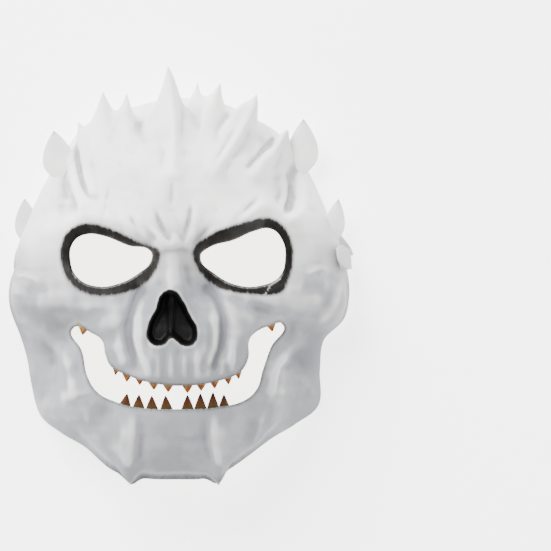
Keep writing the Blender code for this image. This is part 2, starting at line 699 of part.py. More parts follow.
def build():
    clear_scene()
    parts = new_collection("skull_mask")
    cutters = new_collection("cutters")
    tree = moulding(parts, cutters)

    strap = elastic_strap(tree)
    move_to(strap, parts)
    coat(strap, "woven_elastic", WHITE_ELASTIC)

    for name, end in (("strap_pad_right", RIGHT_END), ("strap_pad_left", LEFT_END)):
        pad = strap_pad(name, tree, end)
        move_to(pad, parts)
        coat(pad, name + "_foam", PAD_FOAM)


build()
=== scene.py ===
import math
from collections import namedtuple

import bmesh
import bpy
import numpy as np
from mathutils import Matrix, Vector


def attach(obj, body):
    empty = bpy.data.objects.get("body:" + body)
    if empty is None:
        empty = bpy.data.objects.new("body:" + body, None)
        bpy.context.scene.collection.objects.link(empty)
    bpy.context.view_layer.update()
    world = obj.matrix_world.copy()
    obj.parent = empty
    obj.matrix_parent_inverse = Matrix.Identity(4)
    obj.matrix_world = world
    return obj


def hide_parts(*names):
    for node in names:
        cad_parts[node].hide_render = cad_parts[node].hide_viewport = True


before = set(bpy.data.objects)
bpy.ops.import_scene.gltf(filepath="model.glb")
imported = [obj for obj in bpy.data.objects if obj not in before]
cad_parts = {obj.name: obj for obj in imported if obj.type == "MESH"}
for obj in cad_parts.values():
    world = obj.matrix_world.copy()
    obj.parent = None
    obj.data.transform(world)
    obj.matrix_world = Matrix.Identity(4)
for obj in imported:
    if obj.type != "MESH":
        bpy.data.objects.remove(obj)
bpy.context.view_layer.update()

# Camera
# The mask lies face up, and the camera hangs straight above it with a long lens, so that the face shows
# almost without perspective. Places read from the photograph turn into metres with the same two values.
PIXEL = 0.0006
PHOTO_ORIGIN = (179.5, 276.0)
PHOTO_SIDE = 551
CAMERA_HEIGHT = 5.0
FACE_LEVEL = 0.030


def from_photo(points):
    """Plan places in metres of points given in the photograph's pixels."""
    places = np.array(points, dtype=float)
    return (places - np.array(PHOTO_ORIGIN)) * np.array((PIXEL, -PIXEL))


view_middle = from_photo([(0.5 * PHOTO_SIDE, 0.5 * PHOTO_SIDE)])[0]
camera_data = bpy.data.cameras.new("camera")
camera_data.sensor_width = 36.0
camera_data.lens = camera_data.sensor_width * (CAMERA_HEIGHT - FACE_LEVEL) / (PHOTO_SIDE * PIXEL)
camera = bpy.data.objects.new("camera", camera_data)
camera.location = (view_middle[0], view_middle[1], CAMERA_HEIGHT)
bpy.context.scene.collection.objects.link(camera)
bpy.context.scene.camera = camera


# Shared steps
# Small functions that the pieces below have in common, for colours, shader nodes and meshes.
MIX_SHARE = 0
MIX_FIRST = 6
MIX_SECOND = 7


def linear(hex_colour):
    """Linear red, green, blue and alpha of an sRGB hex colour."""
    parts = [int(hex_colour[i:i + 2], 16) / 255.0 for i in (1, 3, 5)]
    return tuple(c / 12.92 if c <= 0.04045 else ((c + 0.055) / 1.055) ** 2.4 for c in parts) + (1.0,)


def add_node(tree, kind, settings, inputs):
    """Adds a node, with its settings, and its inputs either set to a value or linked to a socket."""
    node = tree.nodes.new(kind)
    for name, value in settings.items():
        setattr(node, name, value)
    for name, value in inputs.items():
        if isinstance(value, bpy.types.NodeSocket):
            tree.links.new(value, node.inputs[name])
        else:
            node.inputs[name].default_value = value
    return node


def new_material(name, roughness, ior, specular=0.5):
    """A material with its Principled shader, ready for the nodes that feed it."""
    material = bpy.data.materials.new(name)
    material.use_nodes = True
    shader = material.node_tree.nodes["Principled BSDF"]
    shader.inputs["Roughness"].default_value = roughness
    shader.inputs["IOR"].default_value = ior
    shader.inputs["Specular IOR Level"].default_value = specular
    return material, material.node_tree, shader


def attribute_of(tree, name):
    return add_node(tree, "ShaderNodeAttribute", {"attribute_name": name}, {}).outputs["Fac"]


def stretched(tree, value, low, high, out_low, out_high):
    """The value eased from one range to another."""
    node = add_node(tree, "ShaderNodeMapRange", {"interpolation_type": "SMOOTHSTEP"}, {
        "Value": value, "From Min": low, "From Max": high, "To Min": out_low, "To Max": out_high})
    return node.outputs["Result"]


def combined(tree, operation, first, second):
    return add_node(tree, "ShaderNodeMath", {"operation": operation}, {0: first, 1: second}).outputs[0]


def blended(tree, share, first, second):
    """The first colour covered by the second, by the share of it."""
    inputs = {MIX_SHARE: share, MIX_FIRST: first, MIX_SECOND: second}
    return add_node(tree, "ShaderNodeMix", {"data_type": "RGBA"}, inputs).outputs[2]


def bumped(tree, shader, height, strength, distance):
    """Gives the shader a fine relief."""
    inputs = {"Height": height, "Strength": strength, "Distance": distance}
    bump = add_node(tree, "ShaderNodeBump", {}, inputs)
    tree.links.new(bump.outputs["Normal"], shader.inputs["Normal"])


def deselect_all():
    for thing in bpy.context.selected_objects:
        thing.select_set(False)


def joined(things):
    """Joins objects into the first of them."""
    deselect_all()
    for thing in things:
        thing.select_set(True)
    bpy.context.view_layer.objects.active = things[0]
    bpy.ops.object.join()
    return things[0]


def vertex_places(mesh):
    places = np.empty(3 * len(mesh.vertices))
    mesh.vertices.foreach_get("co", places)
    return places.reshape(-1, 3)


def move_vertices(mesh, places):
    mesh.vertices.foreach_set("co", places.ravel())
    mesh.update()


def opened(thing):
    shape = bmesh.new()
    shape.from_mesh(thing.data)
    return shape


def stored(shape, mesh):
    """Stores a closed shape in a mesh, with its faces all turned outwards."""
    bmesh.ops.recalc_face_normals(shape, faces=shape.faces)
    shape.to_mesh(mesh)
    shape.free()


def put_attributes(mesh, **layers):
    """Writes a number for each vertex, or one for them all, under each name."""
    for name, values in layers.items():
        layer = mesh.attributes.new(name, "FLOAT", "POINT")
        filled = np.full(len(mesh.vertices), values, dtype=np.float32)
        layer.data.foreach_set("value", filled)


# Floor
# A white table of the kind that products are shown on. It glows a little by itself, as a lit table
# does, so the surface seen through the eyes and the mouth is as pale as the rest.
FLOOR_SIDE = 6.0
FLOOR_WHITE = "#F6F6F6"
FLOOR_SOFT = "#FAFAFA"
FLOOR_GLOW = 2.8

deselect_all()
bpy.ops.mesh.primitive_plane_add(size=FLOOR_SIDE)
floor = bpy.context.active_object
floor.name = "floor"
table, nodes, shader = new_material("lit_white_table", 0.9, 1.45)
speck = add_node(nodes, "ShaderNodeTexNoise", {}, {"Scale": 40.0, "Detail": 2.0})
tint = blended(nodes, speck.outputs["Fac"], linear(FLOOR_WHITE), linear(FLOOR_SOFT))
nodes.links.new(tint, shader.inputs["Base Color"])
shader.inputs["Emission Color"].default_value = linear("#FFFFFF")
shader.inputs["Emission Strength"].default_value = FLOOR_GLOW
floor.data.materials.append(table)


# Face
# One moulding of soft polyurethane foam, about 4 mm thick, with its brows, cheekbones, folds and
# horns. It is cast in a mould and painted, and it is open at the eyes and the mouth. The nose is only
# a deep recess. The front is laid on the same dome and the same broad ridges as the solid.
HALF_WIDTH = 0.1029
HALF_HEIGHT = 0.1260
FACE_DEPTH = 0.0800
WALL = 0.0040
LIP = 0.0040
NOSE_DEPTH = 0.0070
ROUNDING = 0.0009
EDGE_CROWDING = math.radians(72)
EDGE_FADE = 0.10
FRONT_CELLS = (188, 220)
BACK_CELLS = (110, 128)

Edge = namedtuple("Edge", "bearing reach fullness")
EDGES = (
    Edge(0, 0.985, 2.4), Edge(10, 0.945, 2.4), Edge(21, 0.910, 2.5), Edge(36, 0.903, 2.8),
    Edge(50, 0.894, 3.1), Edge(61, 0.870, 3.3), Edge(75, 0.862, 3.5), Edge(90, 0.852, 3.6),
    Edge(106, 0.851, 3.5), Edge(116, 0.872, 3.3), Edge(128, 0.912, 3.1), Edge(138, 0.902, 2.8),
    Edge(150, 0.908, 2.6), Edge(163, 0.923, 2.4), Edge(171, 0.952, 2.4), Edge(177, 0.958, 2.4),
    Edge(182, 0.992, 2.4), Edge(188, 1.004, 2.3), Edge(197, 0.978, 2.2), Edge(204, 0.980, 2.2),
    Edge(211, 1.015, 2.2), Edge(219, 1.054, 2.2), Edge(227, 1.020, 2.3), Edge(236, 0.984, 2.5),
    Edge(248, 1.002, 2.6), Edge(258, 0.982, 2.6), Edge(269, 0.966, 2.6), Edge(282, 0.973, 2.6),
    Edge(296, 0.945, 2.5), Edge(305, 0.943, 2.4), Edge(314, 0.980, 2.3), Edge(323, 1.020, 2.2),
    Edge(331, 0.938, 2.2), Edge(340, 0.898, 2.2), Edge(348, 0.983, 2.3), Edge(355, 0.996, 2.4),
)

RimStep = namedtuple("RimStep", "up rise")
RIM_LINE = (
    RimStep(1.20, 0.00), RimStep(0.55, 0.00), RimStep(0.12, 0.12), RimStep(-0.10, 0.11),
    RimStep(-0.34, 0.00), RimStep(-0.60, 0.00), RimStep(-0.80, 0.30), RimStep(-0.97, 0.52),
    RimStep(-1.20, 0.52),
)
TUCK_BEARING = 176
TUCK_SPREAD = 13
TUCK_HEIGHT = 0.0150
TUCK_LEAN = 0.0068

# Broad ridges and hollows, in shares of the half sizes, the half width and the face's depth
Stroke = namedtuple("Stroke", "points spread height side", defaults=("both",))
STROKES = {
    "brow_left": Stroke(((-0.67, 0.21), (-0.52, 0.27), (-0.32, 0.24), (-0.13, 0.16)), 0.075, 0.085),
    "brow_right": Stroke(((0.12, 0.16), (0.32, 0.24), (0.50, 0.31), (0.66, 0.25)), 0.075, 0.085),
    "socket_left": Stroke(((-0.53, 0.07), (-0.28, 0.05)), 0.125, -0.170),
    "socket_right": Stroke(((0.24, 0.07), (0.48, 0.09)), 0.125, -0.170),
    "cheekbone_left": Stroke(((-0.90, -0.12), (-0.68, -0.12), (-0.43, -0.15)), 0.100, 0.090),
    "cheekbone_right": Stroke(((0.88, -0.12), (0.65, -0.12), (0.40, -0.15)), 0.100, 0.090),
    "under_cheek_left": Stroke(((-0.78, -0.36), (-0.66, -0.27)), 0.090, -0.070),
    "under_cheek_right": Stroke(((0.74, -0.36), (0.64, -0.28)), 0.090, -0.070),
    "upper_jaw": Stroke(((-0.16, -0.38), (0.12, -0.38)), 0.200, 0.100),
    "chin": Stroke(((-0.22, -0.80), (0.18, -0.80)), 0.180, 0.090),
    "mouth_trough": Stroke(((-0.34, -0.56), (0.32, -0.56)), 0.075, -0.050),
    "jaw_left": Stroke(((-0.74, -0.29), (-0.67, -0.42), (-0.61, -0.57), (-0.46, -0.71)), 0.070, 0.060),
    "jaw_right": Stroke(((0.67, -0.31), (0.57, -0.42), (0.54, -0.58), (0.42, -0.71)), 0.070, 0.060),
    "temple_left": Stroke(((-0.72, 0.52), (-0.71, 0.36)), 0.085, -0.090),
    "temple_right": Stroke(((0.64, 0.46), (0.61, 0.34)), 0.075, -0.080),
    "nose_bridge": Stroke(((-0.03, 0.12), (-0.04, -0.07)), 0.065, 0.110),
    "glabella": Stroke(((-0.09, 0.15), (0.05, 0.15)), 0.060, 0.040, "front"),
    "behind_nose": Stroke(((-0.04, -0.16), (-0.04, -0.28)), 0.135, -0.110, "back"),
    "ridge_middle": Stroke(((-0.05, 0.78), (-0.03, 0.62), (-0.03, 0.48)), 0.035, 0.050, "front"),
    "ridge_right": Stroke(((0.40, 0.74), (0.31, 0.64), (0.20, 0.51)), 0.030, 0.040, "front"),
    "ridge_far_right": Stroke(((0.60, 0.62), (0.53, 0.56), (0.44, 0.48)), 0.030, 0.035, "front"),
    "ridge_left": Stroke(((-0.30, 0.76), (-0.28, 0.64)), 0.030, 0.035, "front"),
    "ridge_far_left": Stroke(
        ((-0.63, 0.60), (-0.63, 0.50), (-0.58, 0.39), (-0.53, 0.33)), 0.030, 0.045, "front"),
    "temple_edge": Stroke(((0.71, 0.47), (0.73, 0.38), (0.70, 0.30), (0.63, 0.26)), 0.030, 0.035, "front"),
    "cheek_fold_left": Stroke(
        ((-0.23, -0.09), (-0.29, -0.19), (-0.29, -0.29), (-0.25, -0.40)), 0.035, -0.035, "front"),
    "cheek_fold_right": Stroke(
        ((0.18, -0.08), (0.25, -0.19), (0.24, -0.29), (0.19, -0.40)), 0.035, -0.035, "front"),
    "chin_fold_left": Stroke(((-0.28, -0.69), (-0.28, -0.86)), 0.032, 0.030, "front"),
    "chin_fold_right": Stroke(((0.22, -0.69), (0.22, -0.86)), 0.032, 0.030, "front"),
    "jaw_groove_left": Stroke(((-0.80, -0.40), (-0.79, -0.50)), 0.060, -0.040),
    "jaw_groove_right": Stroke(((0.68, -0.42), (0.68, -0.52)), 0.060, -0.040),
}

# Fine creases and ridges of the front. Places are in the photograph's pixels, width and height in
# millimetres, and a height below zero is a crease. Each fades out towards its two ends.
Crease = namedtuple("Crease", "points width height")
CREASES = {
    "middle_spindle": Crease(((176, 80), (175, 110), (175.5, 140), (174, 170)), 2.3, 2.0),
    "middle_left": Crease(((167, 88), (167, 112), (169, 132), (171.5, 152)), 1.5, -1.1),
    "middle_right": Crease(((184, 92), (183.5, 115), (181.5, 135), (178.5, 154)), 1.5, -1.2),
    "middle_tail": Crease(((175, 160), (173, 185), (171.5, 209)), 1.8, -1.1),
    "right_horn_upper": Crease(((256, 99), (243, 112), (231, 124), (218, 137)), 1.7, 1.7),
    "right_horn_between": Crease(((250, 110), (238, 127), (223, 151), (207, 178)), 1.9, -2.0),
    "right_horn_lower": Crease(((256, 110), (244, 130), (229, 152), (216, 170)), 1.8, 1.3),
    "far_right_ridge": Crease(((288, 132), (277, 145), (265, 158), (251, 173)), 1.9, 1.8),
    "far_right_crease": Crease(((281, 133), (268, 147), (256, 160), (244, 170)), 2.0, -1.1),
    "far_right_side": Crease(((291, 140), (290, 155), (283, 172), (279, 192)), 2.0, 1.2),
    "left_horn_edge": Crease(((103, 95), (107, 108), (113, 120)), 1.6, 1.2),
    "left_horn_fold": Crease(((97, 104), (98, 120), (95, 134)), 1.8, -0.7),
    "left_swirl": Crease(((94, 133), (99, 144), (107, 148), (114, 143)), 1.7, -0.9),
    "small_horn_ridge": Crease(((126, 98), (127.5, 112), (130, 128)), 1.5, 1.3),
    "small_horn_crease": Crease(((133, 106), (134.5, 122), (131, 140)), 1.6, -1.0),
    "left_side_crease": Crease(((75, 128), (75, 155), (80, 178), (89, 201)), 1.5, -2.2),
    "left_side_ridge": Crease(((67, 148), (70, 172), (77, 192), (88, 209)), 1.7, 1.8),
    "left_side_inner": Crease(((81, 140), (84, 165), (92, 188)), 2.0, 0.9),
    "left_temple_outer": Crease(((55, 160), (51, 180), (50, 203), (58, 225)), 2.2, 1.8),
    "left_temple_deep": Crease(((62, 160), (60, 180), (63, 202)), 2.6, -2.0),
    "scratch": Crease(((110, 183), (107, 204), (103, 226)), 0.7, -0.8),
    "dash_upper": Crease(((117, 162), (122, 166), (127, 167)), 1.0, -0.6),
    "dash_lower": Crease(((120, 189), (126, 191), (133, 187)), 1.0, -0.6),
    "right_temple_ridge": Crease(((299, 170), (304, 190), (302, 208), (288, 223)), 1.7, 2.0),
    "right_temple_inner": Crease(((280, 178), (284, 195), (278, 212)), 1.6, 1.2),
    "right_temple_deep": Crease(((291, 182), (292, 200), (284, 214)), 2.4, -1.8),
    "frown_left": Crease(((155, 208), (163, 228), (175, 248)), 1.2, -1.2),
    "frown_left_ridge": Crease(((149, 212), (156, 230), (168, 247)), 1.4, 0.9),
    "frown_right": Crease(((193, 200), (189, 222), (183, 247)), 1.2, -1.2),
    "frown_right_ridge": Crease(((199, 206), (195, 226), (188, 246)), 1.4, 0.8),
    "frown_middle": Crease(((173, 218), (176, 233), (177, 250)), 1.6, 0.9),
    "bridge_crease": Crease(((160, 257), (168, 251.5), (183, 251), (192, 256)), 1.1, -1.2),
    "left_wrinkle_one": Crease(((113, 212), (119, 224), (128, 237)), 1.1, -1.3),
    "left_wrinkle_one_ridge": Crease(((119, 208), (126, 219), (134, 232)), 1.2, 1.0),
    "left_wrinkle_two": Crease(((130, 214), (135, 227), (144, 241)), 1.1, -1.3),
    "left_wrinkle_two_ridge": Crease(((137, 214), (145, 224), (158, 236)), 1.2, 1.1),
    "left_wrinkle_three": Crease(((143, 224), (151, 233), (162, 243)), 1.0, -0.9),
    "right_diagonal": Crease(((259, 196), (246, 211), (231, 226)), 1.4, -1.4),
    "right_diagonal_ridge": Crease(((266, 199), (254, 214), (240, 226)), 1.5, 0.9),
    "right_wrinkle": Crease(((211, 226), (202, 237), (191, 249)), 1.2, -1.2),
    "right_wrinkle_ridge": Crease(((218, 226), (208, 237), (198, 246)), 1.3, 0.8),
    "brow_edge_left": Crease(((62, 230), (84, 216), (104, 217), (124, 225), (158, 243)), 2.4, 1.2),
    "brow_edge_right": Crease(
        ((200, 241), (222, 230), (242, 219), (266, 208), (288, 214), (298, 226)), 2.4, 1.3),
    "bridge_ridge": Crease(((175, 255), (174, 270), (173, 292)), 3.0, 1.2),
    "bridge_side_left": Crease(((166, 260), (163, 276), (158, 292)), 1.8, -0.8),
    "bridge_side_right": Crease(((184, 260), (188, 276), (193, 290)), 1.8, -0.8),
    "cheek_fold_left": Crease(((147, 284), (136, 300), (131, 320), (131, 342), (141, 369)), 1.6, -1.5),
    "cheek_ridge_left": Crease(((150, 290), (141, 308), (138, 328), (140, 348), (149, 368)), 1.6, 1.1),
    "lip_fold_left": Crease(((151, 314), (147, 332), (148, 350), (156, 370)), 1.2, -1.0),
    "cheek_fold_right": Crease(((204, 280), (217, 298), (224, 320), (222, 346), (212, 369)), 1.6, -1.5),
    "cheek_ridge_right": Crease(((202, 288), (213, 306), (217, 328), (215, 348), (206, 368)), 1.6, 1.1),
    "lip_fold_right": Crease(((206, 314), (211, 332), (209, 352), (201, 370)), 1.2, -1.0),
    "outer_fold_left": Crease(((122, 335), (121, 350), (127, 364)), 1.6, 0.9),
    "outer_fold_right": Crease(((231, 335), (233, 350), (228, 364)), 1.6, 0.9),
    "arch_left": Crease(((9, 277), (26, 275), (40, 280)), 1.2, 1.3),
    "arch_left_facet": Crease(((14, 283), (18, 292), (21, 281)), 1.4, 0.8),
    "arch_left_hollow": Crease(((26, 286), (36, 289), (50, 286)), 3.0, -1.3),
    "arch_left_foot": Crease(((16, 318), (34, 322), (54, 330)), 2.2, 1.1),
    "arch_right": Crease(((303, 274), (314, 269), (329, 267)), 1.2, 1.4),
    "arch_right_facet": Crease(((333, 268), (324, 275), (328, 290)), 1.4, 0.9),
    "arch_right_hollow": Crease(((302, 285), (314, 289), (322, 285)), 3.0, -1.3),
    "arch_right_edge": Crease(((339, 276), (336, 297), (326, 314), (309, 331)), 2.0, 1.3),
    "under_arch_left": Crease(((60, 318), (84, 318), (112, 311)), 3.4, -1.3),
    "under_arch_right": Crease(((300, 312), (270, 310), (246, 303)), 3.4, -1.1),
    "jaw_ridge_left": Crease(((63, 345), (71, 368), (76, 398)), 2.3, 1.6),
    "jaw_hollow_left": Crease(((50, 355), (53, 370), (60, 384)), 3.4, -1.6),
    "jaw_shelf_left": Crease(((58, 396), (74, 395), (94, 388)), 2.0, 1.1),
    "jaw_ridge_right": Crease(((297, 338), (281, 360), (272, 382), (271, 402)), 2.2, 1.5),
    "jaw_hollow_right": Crease(((290, 362), (284, 376), (286, 392)), 3.2, -1.5),
    "jaw_line_right": Crease(((266, 404), (259, 426), (250, 448)), 1.7, 1.1),
    "jaw_line_left": Crease(((85, 404), (90, 424), (102, 444)), 1.9, 0.9),
    "chin_ridge_left": Crease(((133, 408), (134, 436), (128, 464)), 2.1, 1.5),
    "chin_groove_left": Crease(((141, 412), (143, 436), (140, 462)), 2.0, -0.8),
    "chin_ridge_right": Crease(((216, 410), (214, 438), (222, 464)), 2.1, 1.5),
    "chin_groove_right": Crease(((208, 412), (205, 438), (209, 462)), 2.0, -0.8),
    "chin_knob_left": Crease(((112, 440), (121, 448), (130, 452)), 3.6, 1.3),
    "chin_knob_right": Crease(((242, 432), (236, 444), (226, 452)), 3.6, 1.3),
}

# Unevenness left by hand in the clay, as waves that cross
Wave = namedtuple("Wave", "length turn height")
UNEVENNESS = (
    Wave(0.041, 0.3, 0.00035), Wave(0.029, 1.9, 0.00030), Wave(0.017, 2.7, 0.00018),
    Wave(0.011, 0.9, 0.00012), Wave(0.0073, 2.2, 0.00006),
)
ACROSS_TURN = 6.28
UPWARD_TURN = 5.1

# Roots of the teeth show as a row of short ridges above the upper teeth
ROOT_RIDGES = (151, 160, 172, 185, 197, 209, 221, 231)
ROOT_TOP = 346
ROOT_FOOT = 378
ROOT_FAN = 0.04
ROOT_WIDTH = 0.0015
ROOT_HEIGHT = 0.0010

# Horns of the brow line, pulled out of the moulding's edge like the clay that it was cast from. Base
# and tip are in the photograph's pixels, out is the height of both as a share of the face's depth,
# width and thickness are those of the base in millimetres. The last two are the points of the chin.
Horn = namedtuple("Horn", "base tip out width thickness")
HORNS = (
    Horn((169, 110), (167.5, 66.0), 0.42, 38, 25),
    Horn((101, 124), (102.7, 91.0), 0.30, 36, 21),
    Horn((127, 117), (126.0, 95.0), 0.36, 21, 16),
    Horn((195, 104), (197.5, 81.0), 0.16, 15, 12),
    Horn((213, 108), (220.4, 82.0), 0.26, 27, 16),
    Horn((243, 121), (256.4, 93.6), 0.28, 33, 20),
    Horn((283, 146), (288.5, 129.5), 0.20, 21, 16),
    Horn((80, 134), (77.5, 121.5), 0.18, 17, 13),
    Horn((130.7, 466), (130.7, 484.5), 0.56, 20, 16),
    Horn((218.7, 466), (218.7, 485.0), 0.56, 20, 16),
)
HORN_TAPER = 1.9
HORN_FRONT_REACH = 3.4
HORN_FADE = (0.012, 0.032)
HORN_SEARCH = 0.035
HORN_STEPS = 71
HORN_SINK = 0.002
HALF_MILLIMETRE = 0.0005

# Openings seen from the front, as shares of the half sizes
EYE_LEFT = (
    (-0.633, 0.086), (-0.610, 0.165), (-0.540, 0.197), (-0.440, 0.190), (-0.289, 0.143), (-0.160, 0.115),
    (-0.160, 0.070), (-0.225, 0.018), (-0.350, -0.036), (-0.480, -0.048), (-0.590, -0.005),
)
EYE_RIGHT = (
    (0.125, 0.090), (0.175, 0.133), (0.320, 0.170), (0.440, 0.213), (0.530, 0.224), (0.592, 0.180),
    (0.617, 0.086), (0.585, 0.000), (0.484, -0.043), (0.350, -0.045), (0.210, 0.010),
)
NOSE = (
    (-0.035, -0.074), (0.020, -0.125), (0.060, -0.190), (0.102, -0.262), (0.080, -0.315),
    (0.030, -0.320), (-0.040, -0.285), (-0.100, -0.320), (-0.165, -0.300), (-0.168, -0.240),
    (-0.120, -0.155), (-0.090, -0.090),
)
MOUTH = (
    (-0.621, -0.251), (-0.564, -0.358), (-0.530, -0.480), (-0.471, -0.552), (-0.377, -0.593),
    (-0.230, -0.622), (0.000, -0.629), (0.240, -0.618), (0.390, -0.585), (0.455, -0.530),
    (0.485, -0.450), (0.534, -0.336), (0.603, -0.230), (0.520, -0.238), (0.452, -0.262),
    (0.410, -0.300), (0.402, -0.390), (0.360, -0.450), (0.220, -0.498), (0.040, -0.517),
    (-0.140, -0.507), (-0.300, -0.467), (-0.395, -0.425), (-0.425, -0.370), (-0.444, -0.306),
    (-0.498, -0.273),
)

# Outer edge of the dark paint round each eye, in the photograph's pixels
PAINT_LEFT = (
    (61, 256), (62, 244), (68.5, 232), (78, 225.5), (91, 223.5), (106, 226.5), (122, 233), (138, 241),
    (152, 246.5), (160, 250), (161.5, 257), (159, 266), (153, 276.5), (143, 286), (129, 292),
    (112.5, 295.5), (96.5, 295.5), (82.5, 291.5), (72, 283.5), (65, 273),
)
PAINT_RIGHT = (
    (193, 253), (197.5, 244.5), (206, 238), (219, 231), (233, 226), (251.5, 220.5), (265.5, 218), (277, 221),
    (287, 231), (292.5, 245), (293.5, 258.5), (292, 269), (288.5, 280), (283, 291), (270, 295.5),
    (254, 294), (233, 292), (217, 287), (205, 277.5), (197, 266),
)

# Walls, septum and lip of the nose, and how far out a distance is still worked out
NOSE_WALL = (-0.0004, 0.0026)
NOSE_POCKET = (-0.0006, 0.0016)
NOSE_LIP_AT = -0.0016
NOSE_LIP_WIDTH = 0.0011
NOSE_LIP_HEIGHT = 0.0005
SEPTUM_WIDTH = 0.0013
SEPTUM_HEIGHT = 0.0030
REFINED_REACH = 0.0030
HORN_REFINED = 0.0003
EASED_RINGS = 3
EASING_STEPS = 6
FAR = 0.012


def smooth_loop(points, resolution=8):
    """Dense points of a smooth closed curve through the given ones, from a Bezier curve object."""
    curve = bpy.data.curves.new("outline", "CURVE")
    curve.dimensions = "2D"
    curve.fill_mode = "NONE"
    curve.resolution_u = resolution
    spline = curve.splines.new("BEZIER")
    spline.bezier_points.add(len(points) - 1)
    for point, (x, y) in zip(spline.bezier_points, points):
        point.co = (x, y, 0.0)
        point.handle_left_type = "AUTO"
        point.handle_right_type = "AUTO"
    spline.use_cyclic_u = True
    guide = bpy.data.objects.new("outline", curve)
    mesh = guide.to_mesh()
    places = np.array([vert.co[:2] for vert in mesh.vertices])
    guide.to_mesh_clear()
    bpy.data.objects.remove(guide)
    return places


def shares_loop(points):
    return smooth_loop([(x * HALF_WIDTH, y * HALF_HEIGHT) for x, y in points])


def nearest_on(places, line, closed):
    """Nearest point of a line to each place, its distance, and how far along the line it is."""
    ends = np.roll(line, -1, axis=0) if closed else line[1:]
    starts = line if closed else line[:-1]
    lengths = np.linalg.norm(ends - starts, axis=1)
    before = np.concatenate(((0.0,), np.cumsum(lengths)))
    best = np.full(len(places), np.inf)
    foot = np.zeros((len(places), 2))
    along = np.zeros(len(places))
    for k in range(len(starts)):
        step = ends[k] - starts[k]
        share = np.clip((places - starts[k]) @ step / max(step @ step, 1e-18), 0.0, 1.0)
        point = starts[k] + share[:, None] * step
        distance = np.hypot(*(places - point).T)
        nearer = distance < best
        best[nearer] = distance[nearer]
        foot[nearer] = point[nearer]
        along[nearer] = (before[k] + share[nearer] * lengths[k]) / before[-1]
    return foot, best, along


def inside_loop(places, line):
    """Whether each place lies inside a closed line, by counting crossings."""
    crossings = np.zeros(len(places), dtype=int)
    for start, end in zip(line, np.roll(line, -1, axis=0)):
        spans = (start[1] > places[:, 1]) != (end[1] > places[:, 1])
        slope = (end[0] - start[0]) / (end[1] - start[1] if end[1] != start[1] else 1e-18)
        crossings += spans & (places[:, 0] < start[0] + (places[:, 1] - start[1]) * slope)
    return crossings % 2 == 1


def depth_inside(places, line):
    """Distance to a closed line, above zero inside it and below zero outside, at least roughly."""
    depth = np.full(len(places), -FAR)
    near = np.all((places > line.min(axis=0) - FAR) & (places < line.max(axis=0) + FAR), axis=1)
    distance = nearest_on(places[near], line, True)[1]
    depth[near] = np.where(inside_loop(places[near], line), distance, -distance)
    return depth


def eased(step):
    return step * step * (3.0 - 2.0 * step)


def ramp(values, low, high):
    """0 below low, 1 above high and eased between."""
    return eased(np.clip((values - low) / (high - low), 0.0, 1.0))


def edge_at(bearing):
    """Reach and fullness at each bearing, on a smooth closed curve through the rows."""
    bearing = bearing % 360.0
    angles = np.array([row.bearing for row in EDGES], dtype=float)
    count = len(EDGES)
    at = np.searchsorted(angles, bearing, side="right") - 1
    turns = [angles[(at + k) % count] + 360.0 * ((at + k) // count) for k in (-1, 0, 1, 2)]
    span = turns[2] - turns[1]
    t = (bearing - turns[1]) / span
    blends = []
    for column in (np.array([row.reach for row in EDGES]), np.array([row.fullness for row in EDGES])):
        values = [column[(at + k) % count] for k in (-1, 0, 1, 2)]
        start_slope = (values[2] - values[0]) / (turns[2] - turns[0]) * span
        end_slope = (values[3] - values[1]) / (turns[3] - turns[1]) * span
        rest = (2 * t**3 - 3 * t**2 + 1) * values[1] + (3 * t**2 - 2 * t**3) * values[2]
        blends.append(rest + (t**3 - 2 * t**2 + t) * start_slope + (t**3 - t**2) * end_slope)
    return blends


def rim_rise(y):
    """Height of the rim above the floor at each place between the top of the head and the chin."""
    ups = np.array([row.up for row in RIM_LINE])[::-1]
    rises = np.array([row.rise for row in RIM_LINE])[::-1]
    up = np.clip(y / HALF_HEIGHT, ups[0], ups[-1])
    at = np.clip(np.searchsorted(ups, up, side="right") - 1, 0, len(ups) - 2)
    step = eased((up - ups[at]) / (ups[at + 1] - ups[at]))
    return FACE_DEPTH * (rises[at] + (rises[at + 1] - rises[at]) * step)


def tuck_at(bearing):
    """How much of the left cheek's drawn-in band there is at each bearing."""
    turn = (bearing - TUCK_BEARING + 180.0) % 360.0 - 180.0
    return np.exp(-0.5 * (turn / TUCK_SPREAD) ** 2)


def between(a, b, c, d, t):
    """Point of a smooth curve between b and c, with a before them and d after them."""
    bend = (2 * a - 5 * b + 4 * c - d) * t**2 + (3 * b - a - 3 * c + d) * t**3
    return 0.5 * (2 * b + (c - a) * t + bend)


def flowing(points, per_span=6):
    """Dense points of a smooth open curve through the given ones."""
    rows = np.array(points, dtype=float)
    rows = np.vstack((2 * rows[0] - rows[1], rows, 2 * rows[-1] - rows[-2]))
    dense = []
    for a, b, c, d in zip(rows, rows[1:], rows[2:], rows[3:]):
        dense += [between(a, b, c, d, k / per_span) for k in range(per_span)]
    dense.append(rows[-2])
    return np.array(dense)


def stroke_weight(places, line, spread, fading):
    """Bell-shaped weight of a ridge or crease at each place, which may fade out towards its ends."""
    weight = np.zeros(len(places))
    low = line.min(axis=0) - 4.0 * spread
    high = line.max(axis=0) + 4.0 * spread
    near = np.all((places > low) & (places < high), axis=1)
    if near.any():
        distance, along = nearest_on(places[near], line, False)[1:]
        bell = np.exp(-0.5 * (distance / spread) ** 2)
        if fading:
            bell *= ramp(np.minimum(along, 1.0 - along), -0.08, 0.30)
        weight[near] = bell
    return weight


